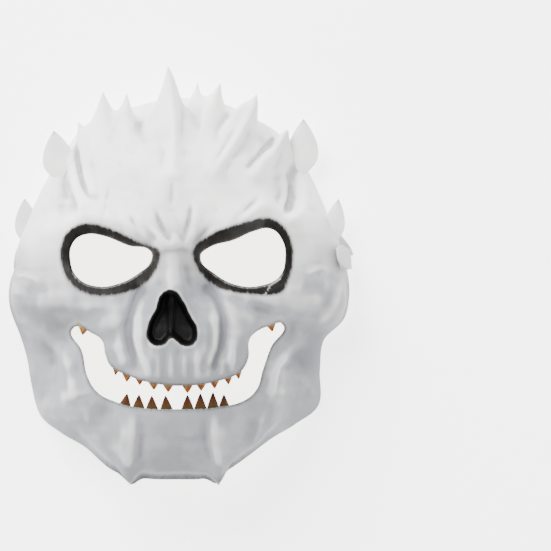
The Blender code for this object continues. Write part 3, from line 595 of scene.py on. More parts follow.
def broad_relief(places, side):
    """How far the broad ridges and hollows stand out from the plain dome."""
    height = np.zeros(len(places))
    for stroke in STROKES.values():
        if stroke.side in ("both", side):
            line = np.array(stroke.points) * (HALF_WIDTH, HALF_HEIGHT)
            weight = stroke_weight(places, line, stroke.spread * HALF_WIDTH, False)
            height += stroke.height * FACE_DEPTH * weight
    return height


def fine_relief(places):
    """How far the fine creases and ridges stand out, with the unevenness of hand-worked clay."""
    height = np.zeros(len(places))
    for crease in CREASES.values():
        line = from_photo(flowing(crease.points))
        height += 0.001 * crease.height * stroke_weight(places, line, 0.001 * crease.width, True)
    for x in ROOT_RIDGES:
        line = from_photo([(x, ROOT_TOP), (x + ROOT_FAN * (x - PHOTO_ORIGIN[0]), ROOT_FOOT)])
        height += ROOT_HEIGHT * stroke_weight(places, line, ROOT_WIDTH, True)
    for wave in UNEVENNESS:
        across = places @ (math.cos(wave.turn), math.sin(wave.turn)) / wave.length
        upward = places @ (-math.sin(wave.turn), math.cos(wave.turn)) / wave.length
        swing = np.sin(ACROSS_TURN * across + wave.turn) * np.sin(UPWARD_TURN * upward + 2.0 * wave.turn)
        height += wave.height * swing
    return height


EYE_LOOPS = [shares_loop(EYE_LEFT), shares_loop(EYE_RIGHT)]
MOUTH_LOOP = shares_loop(MOUTH)
NOSE_LOOP = shares_loop(NOSE)
OPENINGS = EYE_LOOPS + [MOUTH_LOOP]
PAINT_LOOPS = [smooth_loop(from_photo(points)) for points in (PAINT_LEFT, PAINT_RIGHT)]
SEPTUM = from_photo(flowing(((173, 288), (172.5, 305), (172, 322), (172, 334))))


def from_grid(grid):
    """Plan places on the dome of places on a square grid from -1 to 1."""
    disc_x = grid[:, 0] * np.sqrt(1.0 - 0.5 * grid[:, 1] ** 2)
    disc_y = grid[:, 1] * np.sqrt(1.0 - 0.5 * grid[:, 0] ** 2)
    share = np.minimum(1.0, np.hypot(disc_x, disc_y))
    bearing = np.arctan2(disc_y, disc_x)
    outward = np.sin(EDGE_CROWDING * share) / math.sin(EDGE_CROWDING)
    reach = edge_at(np.degrees(bearing))[0] * outward
    return np.stack((reach * HALF_WIDTH * np.cos(bearing), reach * HALF_HEIGHT * np.sin(bearing)), 1)


def skin_at(base, side, detailed=True):
    """Points of the front or the back of the moulding above plan places on its dome."""
    u = base[:, 0] / HALF_WIDTH
    v = base[:, 1] / HALF_HEIGHT
    bearing = np.degrees(np.arctan2(v, u))
    reach, fullness = edge_at(bearing)
    outward = np.minimum(1.0, np.hypot(u, v) / reach)
    rim_y = reach * HALF_HEIGHT * np.sin(np.radians(bearing))
    rim_z = rim_rise(rim_y) + LIP + TUCK_HEIGHT * tuck_at(bearing)
    z = rim_z + (FACE_DEPTH - rim_z) * (1.0 - outward**fullness)
    slopes = (base[:, 0] / HALF_WIDTH**2, base[:, 1] / HALF_HEIGHT**2, (z - rim_z) / FACE_DEPTH**2)
    normal = np.stack(slopes, 1)
    normal /= np.linalg.norm(normal, axis=1)[:, None]
    fade = eased(np.clip((1.0 - outward) / EDGE_FADE, 0.0, 1.0))
    inset = WALL if side == "back" else 0.0
    points = np.column_stack((base, z)) + normal * (broad_relief(base, side) * fade - inset)[:, None]
    if side == "front" and detailed:
        places = points[:, :2].copy()
        near_edge = eased(np.clip((1.0 - outward) / (0.5 * EDGE_FADE), 0.0, 1.0))
        points += normal * (fine_relief(places) * near_edge)[:, None]
        inside = depth_inside(places, NOSE_LOOP)
        septum = SEPTUM_HEIGHT * stroke_weight(places, SEPTUM, SEPTUM_WIDTH, False)
        lip = np.exp(-0.5 * ((inside - NOSE_LIP_AT) / NOSE_LIP_WIDTH) ** 2)
        points[:, 2] -= NOSE_DEPTH * ramp(inside, *NOSE_WALL) - septum * ramp(inside, *NOSE_POCKET)
        points[:, 2] += NOSE_LIP_HEIGHT * lip
    return points


def land_on(base, targets, side):
    """Plan places on the dome whose points of the skin come to lie at the targets, seen from the front."""
    for _ in range(4):
        base = base + (targets - skin_at(base, side, False)[:, :2])
    return base + (targets - skin_at(base, side)[:, :2])


BandRow = namedtuple("BandRow", "drop lean inward up")
BAND_ROWS = (
    BandRow(0.14, 0.34, 0.0, 0.0), BandRow(0.28, 0.68, 0.0, 0.0), BandRow(0.64, 0.84, 0.0, 0.0),
    BandRow(1.0, 1.0, 0.0, 1.0), BandRow(1.0, 1.0, 1.0, 0.0),
)


def opening_depth(places):
    """How deep each place lies inside the nearest opening, below zero outside them all."""
    return np.max([depth_inside(places, loop) for loop in OPENINGS], axis=0)


def face_middles(shape):
    shape.faces.ensure_lookup_table()
    return from_grid(np.array([face.calc_center_median()[:2] for face in shape.faces]))


def refine(shape):
    """Divides the faces once more round the openings, the nose and the horns."""
    places = skin_at(face_middles(shape), "front", False)[:, :2]
    close = np.abs(opening_depth(places)) < REFINED_REACH
    close |= np.abs(depth_inside(places, NOSE_LOOP)) < REFINED_REACH
    for horn in HORNS:
        close |= np.hypot(*(places - from_photo([horn.base])[0]).T) < HORN_REFINED * horn.width
    edges = {edge for at in np.flatnonzero(close) for edge in shape.faces[at].edges}
    bmesh.ops.subdivide_edges(shape, edges=list(edges), cuts=1, use_grid_fill=True)


def cut_openings(shape, side):
    """Deletes the faces inside the openings, and any that would hang on by one corner."""
    depth = opening_depth(skin_at(face_middles(shape), side, False)[:, :2])
    gone = [shape.faces[at] for at in np.flatnonzero(depth > -ROUNDING)]
    while gone:
        bmesh.ops.delete(shape, geom=gone, context="FACES")
        corners = [v for v in shape.verts if sum(edge.is_boundary for edge in v.link_edges) > 2]
        gone = list({face for vert in corners for face in vert.link_faces})


def nearest_opening(places):
    """Nearest point of any opening's outline, and the direction that leads out of that opening."""
    found = [nearest_on(places, loop, True)[:2] for loop in OPENINGS]
    best = np.argmin([gap for foot, gap in found], axis=0)
    foot = np.array([foot for foot, gap in found])[best, np.arange(len(places))]
    away = places - foot
    away[opening_depth(places) > 0.0] *= -1.0
    away /= np.maximum(np.linalg.norm(away, axis=1), 1e-9)[:, None]
    return foot, away


def grow(shape, edges, places):
    """Extrudes open edges and moves each new corner to the place given for the corner it grows from."""
    targets = {tuple(vert.co): place for vert, place in places.items()}
    made = bmesh.ops.extrude_edge_only(shape, edges=edges)["geom"]
    grown = {vert: targets[tuple(vert.co)] for vert in made if isinstance(vert, bmesh.types.BMVert)}
    for vert, (co, start) in grown.items():
        vert.co = co
    return {vert: start for vert, (co, start) in grown.items()}


def band_place(start, row, side):
    """Place on the band below a point of the face's edge."""
    tuck = tuck_at(math.degrees(math.atan2(start.y / HALF_HEIGHT, start.x / HALF_WIDTH)))
    inward = Vector((start.x, start.y, 0.0)).normalized()
    turn = 1.0 if side == "front" else -1.0
    point = start - inward * (row.lean * TUCK_LEAN * tuck + turn * row.inward * ROUNDING)
    foot = float(rim_rise(np.array([point.y]))[0])
    point.z = start.z + row.drop * (foot - start.z) + row.up * ROUNDING
    return point


def sheet_of(side, cells):
    """The front or the back of the moulding as an open sheet, with its rounded edges and its band."""
    deselect_all()
    bpy.ops.mesh.primitive_grid_add(x_subdivisions=cells[0], y_subdivisions=cells[1], size=2.0)
    thing = bpy.context.active_object
    thing.name = side
    shape = opened(thing)
    if side == "front":
        refine(shape)
    cut_openings(shape, side)
    shape.verts.index_update()
    shape.verts.ensure_lookup_table()

    grid = np.array([vert.co[:2] for vert in shape.verts])
    base = from_grid(grid)
    border = np.max(np.abs(grid), axis=1) > 1.0 - 1e-5
    outer = [shape.verts[at] for at in np.flatnonzero(border)]
    cut = np.array([vert.is_boundary for vert in shape.verts]) & ~border
    foot, away = nearest_opening(skin_at(base[cut], side)[:, :2])
    base[cut] = land_on(base[cut], foot + ROUNDING * away, side)

    ring = {shape.verts[at] for at in np.flatnonzero(cut)}
    held = set(ring)
    for _ in range(EASED_RINGS):
        ring |= {edge.other_vert(vert) for vert in ring for edge in vert.link_edges}
    loose = [vert for vert in ring - held if not border[vert.index]]
    loose.sort(key=lambda vert: vert.index)
    around = [[edge.other_vert(vert).index for edge in vert.link_edges] for vert in loose]
    for _ in range(EASING_STEPS):
        moved = [0.5 * base[vert.index] + 0.5 * base[near].mean(axis=0) for vert, near in zip(loose, around)]
        for vert, place in zip(loose, moved):
            base[vert.index] = place
    for vert, point in zip(shape.verts, skin_at(base, side)):
        vert.co = point

    # Rounded edge of each opening, straight in plan below it, as the solid is cut
    under = skin_at(land_on(base[cut], foot, side), side)
    under[:, 2] += -ROUNDING if side == "front" else ROUNDING
    places = {shape.verts[at]: (Vector(point), None) for at, point in zip(np.flatnonzero(cut), under)}
    edges = [edge for edge in shape.edges if edge.is_boundary and all(vert in places for vert in edge.verts)]
    grow(shape, edges, places)

    # Band below the edge of the face, down to the rim that it rests on
    rim = {vert: vert.co.copy() for vert in outer}
    for row in BAND_ROWS:
        edges = [edge for edge in shape.edges if edge.is_boundary and all(vert in rim for vert in edge.verts)]
        rim = grow(shape, edges, {vert: (band_place(start, row, side), start) for vert, start in rim.items()})
    shape.to_mesh(thing.data)
    shape.free()
    return thing


def raised(place, share):
    """Point over a place in the photograph, at a share of the face's depth."""
    return np.append(from_photo([place])[0], share * FACE_DEPTH)


def square_to(axis):
    """Unit directions square to an axis: level across it, and up from it."""
    across = np.cross(axis, (0.0, 0.0, 1.0))
    across /= np.linalg.norm(across)
    return across, np.cross(across, axis / np.linalg.norm(axis))


def horn_root(horn, tip):
    """Point of the front where a horn is pulled out: as high above the floor as its tip."""
    base, point = from_photo([horn.base, horn.tip])
    steps = np.linspace(0.0, HORN_SEARCH, HORN_STEPS)
    places = base + steps[:, None] * (base - point) / np.linalg.norm(base - point)
    rows = skin_at(places, "front")
    high = np.flatnonzero(rows[:, 2] >= tip[2] - HORN_SINK)
    return rows[high[0]] if len(high) else rows[0]


def pull_horns(places):
    """Draws the clay out to each horn's tip, most at its middle and ever less towards its foot."""
    pulled = places.copy()
    for horn in HORNS:
        tip = raised(horn.tip, horn.out)
        root = horn_root(horn, tip)
        nearest = places[np.argmin(np.linalg.norm(places - root, axis=1))]
        along = tip - nearest
        axis = along / np.linalg.norm(along)
        across, upward = square_to(axis)
        offset = places - nearest
        rise = offset @ upward / (HALF_MILLIMETRE * horn.thickness)
        rise[rise > 0.0] /= HORN_FRONT_REACH
        away = np.hypot(offset @ across / (HALF_MILLIMETRE * horn.width), rise)
        weight = np.clip(1.0 - away, 0.0, 1.0) ** HORN_TAPER
        weight *= 1.0 - ramp(np.abs(offset @ axis), *HORN_FADE)
        pulled += weight[:, None] * along
    return pulled


SMOOTHING_STEPS = 9
EVENING_STEPS = 3


def hollows_of(mesh, places):
    """How far each vertex lies below or above its neighbours, smoothed, for painted shade in the hollows and
    a painted highlight on the ridges.
    """
    ends = np.empty(2 * len(mesh.edges), dtype=int)
    mesh.edges.foreach_get("vertices", ends)
    ends = ends.reshape(-1, 2)
    count = np.maximum(np.bincount(ends.ravel(), minlength=len(places)), 1)
    normals = np.empty(3 * len(mesh.vertices))
    mesh.vertices.foreach_get("normal", normals)
    normals = normals.reshape(-1, 3)

    def neighbour_mean(values):
        total = np.zeros_like(values)
        np.add.at(total, ends[:, 0], values[ends[:, 1]])
        np.add.at(total, ends[:, 1], values[ends[:, 0]])
        return total / (count[:, None] if values.ndim == 2 else count)

    smooth = places
    for _ in range(SMOOTHING_STEPS):
        smooth = 0.5 * smooth + 0.5 * neighbour_mean(smooth)
    below = np.einsum("ij,ij->i", smooth - places, normals)
    for _ in range(EVENING_STEPS):
        below = 0.5 * below + 0.5 * neighbour_mean(below)
    return below


def rim_share(plan):
    """How far out each place lies, from 0 at the middle of the face to 1 at its edge."""
    turn = np.degrees(np.arctan2(plan[:, 1] / HALF_HEIGHT, plan[:, 0] / HALF_WIDTH))
    return np.hypot(plan[:, 0] / HALF_WIDTH, plan[:, 1] / HALF_HEIGHT) / edge_at(turn)[0]


# Airbrushed paint and the painted shade under the chin, with the distances inside its outline over which each
# patch fades in
EYE_PAINT = 1.2
EYE_SPRAY = (-0.0022, 0.0026)
LID_AT = 0.0007
LID_WIDTH = 0.0008
LID_WEAR = 0.55
CRACK = ((265, 296), (270, 286), (280, 279))
CRACK_WIDTH = 0.0004
CRACK_WEAR = 0.8
NOSE_PAINT = 1.6
NOSE_SPRAY = (-0.0024, 0.0006)
MOUTH_SPRAY = 0.0017
MOUTH_PAINT = 0.16
CORNER_PAINT = 0.42
CHIN_SHADE = 0.45
# Painted shade between the brows, where the brow shades the frown: a grey stroke added to the greyness
FROWN = ((152, 238), (204, 236))
FROWN_WIDTH = 0.0065
FROWN_SHADE_GREYNESS = 0.55
BACK_GREYNESS = 0.3
UPPER_GREYNESS = 0.10
CHEEK_FADE = (-0.040, 0.016)
LIP_DROP = (0.010, 0.034)
LIP_BOW = 0.55
MOUTH_SIDES = (0.040, 0.052)
CHIN_RIM = (0.955, 0.992)
CHIN_DROP = (0.098, 0.112)
CALM_AT_OPENINGS = (0.0012, 0.0040)
CALM_AT_RIM = (-0.985, -0.95)
BRIDGED_REACH = 0.003


def eye_paint(plan):
    """Dark band round each eye, worn along its lower lid and at one crack."""
    paint = np.max([EYE_PAINT * ramp(depth_inside(plan, loop), *EYE_SPRAY) for loop in PAINT_LOOPS], axis=0)
    gap = np.min([nearest_on(plan, loop, True)[1] for loop in EYE_LOOPS], axis=0)
    lower_lid = np.exp(-(((gap - LID_AT) / LID_WIDTH) ** 2)) * ramp(-plan[:, 1], -0.006, 0.0)
    crack = stroke_weight(plan, from_photo(flowing(CRACK)), CRACK_WIDTH, False)
    return paint * (1.0 - LID_WEAR * lower_lid) * (1.0 - CRACK_WEAR * crack)


def mouth_paint(plan):
    """Grey edge of the mouth, darker at its outer sides and along the lower lip."""
    gap = nearest_on(plan, MOUTH_LOOP, True)[1]
    lower_side = ramp(-plan[:, 1] - LIP_BOW * np.abs(plan[:, 0] + 0.001), *LIP_DROP)
    outer_side = ramp(np.abs(plan[:, 0] + 0.002), *MOUTH_SIDES)
    paint = MOUTH_PAINT + CORNER_PAINT * np.maximum(outer_side, lower_side)
    return np.exp(-((gap / MOUTH_SPRAY) ** 2)) * paint


def airbrushed(plan):
    """How dark the airbrushed paint and the painted shade under the chin are at each place."""
    nose = NOSE_PAINT * ramp(depth_inside(plan, NOSE_LOOP), *NOSE_SPRAY)
    # painted shade on the steep underside of the chin, along the rim
    under_chin_shade = CHIN_SHADE * ramp(rim_share(plan), *CHIN_RIM) * ramp(-plan[:, 1], *CHIN_DROP)
    return np.max([eye_paint(plan), nose, mouth_paint(plan), under_chin_shade], axis=0)


def undercoat_and_shade(plan):
    """How grey the colour is: paint nearly white above and grey from the cheeks down, and painted shade at
    the frown between the brows.
    """
    lower_face = UPPER_GREYNESS + (1.0 - UPPER_GREYNESS) * ramp(-plan[:, 1], *CHEEK_FADE)
    # painted shade at the frown, added to the paint's own grey
    frown_shade = FROWN_SHADE_GREYNESS * stroke_weight(plan, from_photo(FROWN), FROWN_WIDTH, False)
    return np.minimum(1.0, lower_face + frown_shade)


def painted_front():
    """The front, with its paint laid on and its horns pulled out."""
    thing = sheet_of("front", FRONT_CELLS)
    spots = vertex_places(thing.data)
    move_vertices(thing.data, pull_horns(spots))
    plan = spots[:, :2]
    put_attributes(thing.data, airbrush=airbrushed(plan), greyness=undercoat_and_shade(plan), raw_foam=0.0)
    return thing


def bridge_edges(thing):
    """Closes the wall between the front and the back, round each opening and along the rim."""
    shape = opened(thing)
    open_edges = [edge for edge in shape.edges if edge.is_boundary]
    middles = np.array([(0.5 * (edge.verts[0].co + edge.verts[1].co))[:2] for edge in open_edges])
    gaps = np.array([nearest_on(middles, loop, True)[1] for loop in OPENINGS])
    owner = np.where(gaps.min(axis=0) < BRIDGED_REACH, gaps.argmin(axis=0), len(OPENINGS))
    for group in range(len(OPENINGS) + 1):
        edges = [edge for edge, own in zip(open_edges, owner) if own == group]
        bmesh.ops.bridge_loops(shape, edges=edges)
    stored(shape, thing.data)


front = painted_front()
back = sheet_of("back", BACK_CELLS)
put_attributes(back.data, airbrush=0.0, greyness=BACK_GREYNESS, raw_foam=1.0)
face = joined([front, back])
face.name = "face_moulding"
bridge_edges(face)
spots = vertex_places(face.data)
calm = ramp(np.abs(opening_depth(spots[:, :2])), *CALM_AT_OPENINGS)
calm *= ramp(-rim_share(spots[:, :2]), *CALM_AT_RIM)
# the hollow measure darkens creases as painted shade and lightens ridges as a painted highlight
put_attributes(face.data, hollow=hollows_of(face.data, spots) * calm)
face.data.shade_smooth()

# The foam is self-skinning polyurethane, sprayed with matt acrylic: a soft sheen, a fine skin with hardly any
# pores, painted grey shade in the hollows and a painted highlight on the ridges.
PAINT_WHITE = "#F4F3F1"
PAINT_AND_SHADE_GREY = "#8C8D91"
HOLLOW_SHADE_GREY = "#66666B"
RIDGE_HIGHLIGHT_WHITE = "#FBFBFA"
AIRBRUSH_AND_SHADE_DARK = "#120F0D"
NOSE_BLACK = "#040404"
FOAM_CREAM = "#DDD9CE"


def foam_paint():
    """Undercoat, painted shade in the hollows, painted highlight on the ridges, airbrushed paint with painted
    shade under the chin, and bare foam behind.
    """
    material, tree, shader = new_material("painted_polyurethane_foam", 0.52, 1.47, 0.12)
    place = add_node(tree, "ShaderNodeTexCoord", {}, {}).outputs["Object"]
    strokes = add_node(tree, "ShaderNodeMapping", {}, {"Vector": place, "Scale": (1.0, 0.22, 0.6)})
    brush = add_node(tree, "ShaderNodeTexNoise", {}, {
        "Vector": strokes.outputs["Vector"], "Scale": 620.0, "Detail": 3.0, "Roughness": 0.6}).outputs["Fac"]
    mottle = add_node(tree, "ShaderNodeTexNoise", {}, {
        "Vector": place, "Scale": 38.0, "Detail": 4.0}).outputs["Fac"]
    spray = add_node(tree, "ShaderNodeTexNoise", {}, {
        "Vector": place, "Scale": 1100.0, "Detail": 2.0}).outputs["Fac"]
    uneven = stretched(tree, mottle, 0.3, 0.7, -0.12, 0.12)
    greyness = combined(tree, "ADD", attribute_of(tree, "greyness"), uneven)
    # the grey stands for the paint's own grey, and at the frown for painted shade
    colour = blended(tree, greyness, linear(PAINT_WHITE), linear(PAINT_AND_SHADE_GREY))
    hollow = attribute_of(tree, "hollow")
    # painted shade: grey laid into the hollows and creases
    hollow_shade = stretched(tree, hollow, 0.00000, 0.00036, 0.0, 0.70)
    streaky = stretched(tree, brush, 0.3, 0.7, 0.88, 1.08)
    colour = blended(tree, combined(tree, "MULTIPLY", hollow_shade, streaky), colour, linear(HOLLOW_SHADE_GREY))
    # painted highlight: a lighter white on the ridges
    ridge_highlight = stretched(tree, hollow, -0.00045, -0.00004, 0.45, 0.0)
    colour = blended(tree, ridge_highlight, colour, linear(RIDGE_HIGHLIGHT_WHITE))
    specks = stretched(tree, brush, 0.25, 0.75, 0.78, 1.22)
    # this share holds the eye, nose and mouth paint and the painted shade under the chin
    airbrush = combined(tree, "MULTIPLY", attribute_of(tree, "airbrush"), specks)
    colour = blended(tree, stretched(tree, airbrush, 0.02, 0.95, 0.0, 1.0), colour, linear(AIRBRUSH_AND_SHADE_DARK))
    colour = blended(tree, stretched(tree, airbrush, 1.0, 1.5, 0.0, 1.0), colour, linear(NOSE_BLACK))
    colour = blended(tree, attribute_of(tree, "raw_foam"), colour, linear(FOAM_CREAM))
    tree.links.new(colour, shader.inputs["Base Color"])
    tree.links.new(stretched(tree, mottle, 0.3, 0.7, 0.46, 0.58), shader.inputs["Roughness"])
    bumped(tree, shader, combined(tree, "ADD", brush, spray), 0.25, 0.0002)
    return material


painted_foam = foam_paint()
face.data.materials.append(painted_foam)
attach(face, "root")
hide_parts("face_shell")


# Fins
# Four thin leaves of the same foam at the temples, moulded with the face and set just behind its
# edge. Fine lines run along them from root to tip.
Fin = namedtuple("Fin", "root tip width out_root out_tip lean")
FINS = {
    "upper_left": Fin((66, 180), (53.0, 130.5), 20, 0.13, 0.15, -1.5),
    "upper_right": Fin((294, 176), (303.7, 118.7), 20, 0.13, 0.15, 2.5),
    "lower_left": Fin((33, 245), (23.7, 198.7), 15.5, 0.15, 0.18, -1.5),
    "lower_right": Fin((329, 243), (338.7, 199.0), 13, 0.15, 0.18, 0.8),
}
FIN_THICKNESS = 0.0042
FIN_LINES = 9
FIN_GROOVE = 0.00036
FIN_THINNING = 0.72
FIN_EDGE = 0.35
FIN_SIDES = 256
FIN_ROWS = 17
FIN_GREYNESS = 0.12
FIN_WIDTHS = ((0.0, 0.40), (0.15, 0.76), (0.35, 1.0), (0.55, 0.90), (0.75, 0.62), (0.9, 0.30), (1.0, 0.02))
fin_outline = flowing(FIN_WIDTHS)


def fin_point(co, fin):
    """Place on a fin of a point on a plain cylinder one metre high: along, across and out of the fin."""
    share = co.z + 0.5
    side = co.x
    width = HALF_MILLIMETRE * fin.width * float(np.interp(share, fin_outline[:, 0], fin_outline[:, 1]))
    line = 0.5 + 0.5 * math.cos(2.0 * math.pi * FIN_LINES * (side + 0.06 * math.sin(9.0 * share)))
    thick = 0.5 * FIN_THICKNESS * (1.0 - FIN_THINNING * share)
    thick *= FIN_EDGE + (1.0 - FIN_EDGE) * (1.0 - side * side)
    thick -= FIN_GROOVE * line * (1.0 - 0.6 * share)
    bend = fin.lean * 0.001 * math.sin(math.pi * share)
    return share, side * width + bend, co.y * thick


def fin_leaf(name, fin):
    """One fin, a cylinder with many rows drawn out to a thin leaf."""
    root = raised(fin.root, fin.out_root)
    axis = raised(fin.tip, fin.out_tip) - root
    across, facing = square_to(axis)
    deselect_all()
    bpy.ops.mesh.primitive_cylinder_add(vertices=FIN_SIDES, radius=1.0, depth=1.0)
    bpy.ops.object.mode_set(mode="EDIT")
    bpy.ops.mesh.select_all(action="SELECT")
    bpy.ops.mesh.bisect(plane_co=(0.0, 0.0, 0.0), plane_no=(0.0, 0.0, 1.0))
    bpy.ops.object.mode_set(mode="OBJECT")
    leaf = bpy.context.active_object
    leaf.name = "fin_" + name
    shape = opened(leaf)
    long_edges = [edge for edge in shape.edges if abs(edge.verts[0].co.z - edge.verts[1].co.z) > 0.1]
    bmesh.ops.subdivide_edges(shape, edges=long_edges, cuts=FIN_ROWS, use_grid_fill=True)
    for vert in shape.verts:
        share, aside, out = fin_point(vert.co, fin)
        vert.co = root + axis * share + across * aside + facing * out
    stored(shape, leaf.data)
    return leaf


for name, fin in FINS.items():
    leaf = fin_leaf(name, fin)
    # the fins' grooves get the same painted shade
    low = hollows_of(leaf.data, vertex_places(leaf.data))
    put_attributes(leaf.data, airbrush=0.0, greyness=FIN_GREYNESS, raw_foam=0.0, hollow=low)
    leaf.data.shade_smooth()
    leaf.data.materials.append(painted_foam)
    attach(leaf, "root")
    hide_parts("face_shell")


# Teeth
# Short pointed teeth, moulded with the face along the edges of the mouth, and painted by hand: copper
# brown above, darker brown with rust below.
Tooth = namedtuple("Tooth", "root tip breadth")
UPPER_TEETH = (
    Tooth((-0.555, -0.255), (-0.560, -0.278), 0.045), Tooth((-0.362, -0.445), (-0.367, -0.467), 0.035),
    Tooth((-0.298, -0.468), (-0.301, -0.498), 0.045), Tooth((-0.224, -0.487), (-0.226, -0.513), 0.045),
    Tooth((-0.143, -0.507), (-0.143, -0.535), 0.050), Tooth((-0.060, -0.514), (-0.060, -0.546), 0.052),
    Tooth((0.051, -0.516), (0.051, -0.550), 0.052), Tooth((0.130, -0.510), (0.130, -0.540), 0.050),
    Tooth((0.206, -0.500), (0.208, -0.530), 0.046), Tooth((0.284, -0.478), (0.288, -0.511), 0.044),
    Tooth((0.342, -0.456), (0.347, -0.486), 0.038), Tooth((0.535, -0.236), (0.541, -0.262), 0.045),
)
LOWER_TEETH = (
    Tooth((-0.312, -0.612), (-0.300, -0.560), 0.062), Tooth((-0.233, -0.620), (-0.230, -0.564), 0.060),
    Tooth((-0.156, -0.624), (-0.156, -0.569), 0.060), Tooth((-0.072, -0.627), (-0.076, -0.569), 0.062),
    Tooth((0.051, -0.627), (0.051, -0.566), 0.062), Tooth((0.125, -0.624), (0.125, -0.559), 0.060),
    Tooth((0.198, -0.620), (0.198, -0.554), 0.058), Tooth((0.262, -0.616), (0.261, -0.564), 0.054),
)
TOOTH_THICKNESS = 0.0040
TOOTH_ROOT = 0.0035
TOOTH_LEVEL = 0.55
TOOTH_SINK = 0.80
TOOTH_LEAN = 0.05
TOOTH_TAPER = 0.82
TOOTH_SIDES = 24
TOOTH_ROWS = 9
TIP_EXCESS = 0.10
FLUTES = 7.0
FLUTE_DEPTH = 0.05
UPPER_FULLNESS = 1.85
LOWER_FULLNESS = 1.50


def tooth_mesh(tooth, lean, fullness):
    """One tooth, a cone that is swollen near its root and lightly fluted."""
    shares = np.array((tooth.root, tooth.tip)) * (HALF_WIDTH, HALF_HEIGHT)
    height = skin_at(shares[:1], "front")[0, 2] - TOOTH_LEVEL * WALL
    root = Vector((*shares[0], height))
    tip = Vector((*shares[1], height + lean * WALL))
    tip += (tip - root) * TIP_EXCESS
    root -= (tip - root).normalized() * TOOTH_ROOT
    root.z = skin_at(np.array([root[:2]]), "front")[0, 2] - TOOTH_SINK * WALL
    axis = tip - root
    across = axis.cross(Vector((0.0, 0.0, 1.0))).normalized()
    facing = across.cross(axis.normalized())
    deselect_all()
    bpy.ops.mesh.primitive_cone_add(vertices=TOOTH_SIDES, radius1=1.0, radius2=0.0, depth=1.0)
    thing = bpy.context.active_object
    shape = opened(thing)
    sides = [edge for edge in shape.edges if abs(edge.verts[0].co.z - edge.verts[1].co.z) > 0.1]
    bmesh.ops.subdivide_edges(shape, edges=sides, cuts=TOOTH_ROWS)
    along = []
    for vert in shape.verts:
        share = vert.co.z + 0.5
        turn = math.atan2(vert.co.y, vert.co.x)
        swell = max(0.0, 1.0 - share) ** TOOTH_TAPER
        flute = 1.0 + FLUTE_DEPTH * math.cos(FLUTES * turn + 2.0 * share)
        wide = 0.5 * fullness * tooth.breadth * HALF_WIDTH * swell * flute
        thick = 0.5 * TOOTH_THICKNESS * swell * flute * min(1.0, 0.35 + 2.2 * share)
        vert.co = root + axis * share + across * (math.cos(turn) * wide) + facing * (math.sin(turn) * thick)
        along.append(share)
    stored(shape, thing.data)
    put_attributes(thing.data, along=along)
    thing.data.shade_smooth()
    return thing


def tooth_row(name, rows, lean, fullness, material):
    thing = joined([tooth_mesh(tooth, lean, fullness) for tooth in rows])
    thing.name = name
    thing.data.transform(thing.matrix_world)
    thing.matrix_world = Matrix.Identity(4)
    thing.data.materials.append(material)
    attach(thing, "root")
    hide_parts("face_shell")


def tooth_paint(name, root, middle, tip):
    """Brushed acrylic on a tooth: its colours run from root to tip, with grime in streaks."""
    material, tree, shader = new_material(name, 0.42, 1.48, 0.15)
    spot = add_node(tree, "ShaderNodeTexCoord", {}, {}).outputs["Object"]
    drawn = add_node(tree, "ShaderNodeMapping", {}, {"Vector": spot, "Scale": (1.0, 0.35, 1.0)})
    streak = add_node(tree, "ShaderNodeTexNoise", {}, {
        "Vector": drawn.outputs["Vector"], "Scale": 900.0, "Detail": 3.0})
    along = combined(tree, "ADD", attribute_of(tree, "along"), stretched(
        tree, streak.outputs["Fac"], 0.3, 0.7, -0.2, 0.2))
    tone = blended(tree, stretched(tree, along, 0.35, 0.65, 0.0, 1.0), linear(root), linear(middle))
    tone = blended(tree, stretched(tree, along, 0.68, 1.0, 0.0, 1.0), tone, linear(tip))
    tree.links.new(tone, shader.inputs["Base Color"])
    bumped(tree, shader, streak.outputs["Fac"], 0.4, 0.0003)
    return material


copper = tooth_paint("copper_paint", "#8E7444", "#8A4A1A", "#4E2E18")
rust = tooth_paint("rust_paint", "#3A2C10", "#461E08", "#0E0C0B")
tooth_row("upper_teeth", UPPER_TEETH, -TOOTH_LEAN, UPPER_FULLNESS, copper)
tooth_row("lower_teeth", LOWER_TEETH, TOOTH_LEAN, LOWER_FULLNESS, rust)


# Strap and pads
# A woven elastic tape, glued to the foam at both temples under a round disc of soft foam and laid in a
# loop behind the forehead. It is ribbed along its length, and the discs have pressed, rounded edges.
STRAP_WIDTH = 0.0130
STRAP_THICKNESS = 0.0013
STRAP_REACH = 0.0780
STRAP_STEPS = 12
RIBS = 7
RIB_DEPTH = 0.00010
PAD_DIAMETER = 0.0150
PAD_THICKNESS = 0.0020
GAP = 0.0003
StrapEnd = namedtuple("StrapEnd", "pad side y")
STRAP_ENDS = (StrapEnd("strap_pad_right", 1, 0.0105), StrapEnd("strap_pad_left", -1, 0.0095))
Lying = namedtuple("Lying", "inward up")
LYING = (Lying(0.955, 0.05), Lying(0.90, 0.16), Lying(0.78, 0.40), Lying(0.60, 0.68), Lying(0.34, 0.92))


def pad_seat(end):
    """Middle of a pad, its outward normal and its way down, from the solid that stands for it."""
    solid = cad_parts[end.pad]
    places = np.array([solid.matrix_world @ vert.co for vert in solid.data.vertices])
    middle = 0.5 * (places.max(axis=0) + places.min(axis=0))
    normal = np.linalg.svd(places - middle)[2][2]
    normal = Vector(normal * end.side * math.copysign(1.0, normal[0]))
    down = Vector((normal.z, 0.0, -normal.x)).normalized()
    return Vector(middle), normal, down * -math.copysign(1.0, down.z)


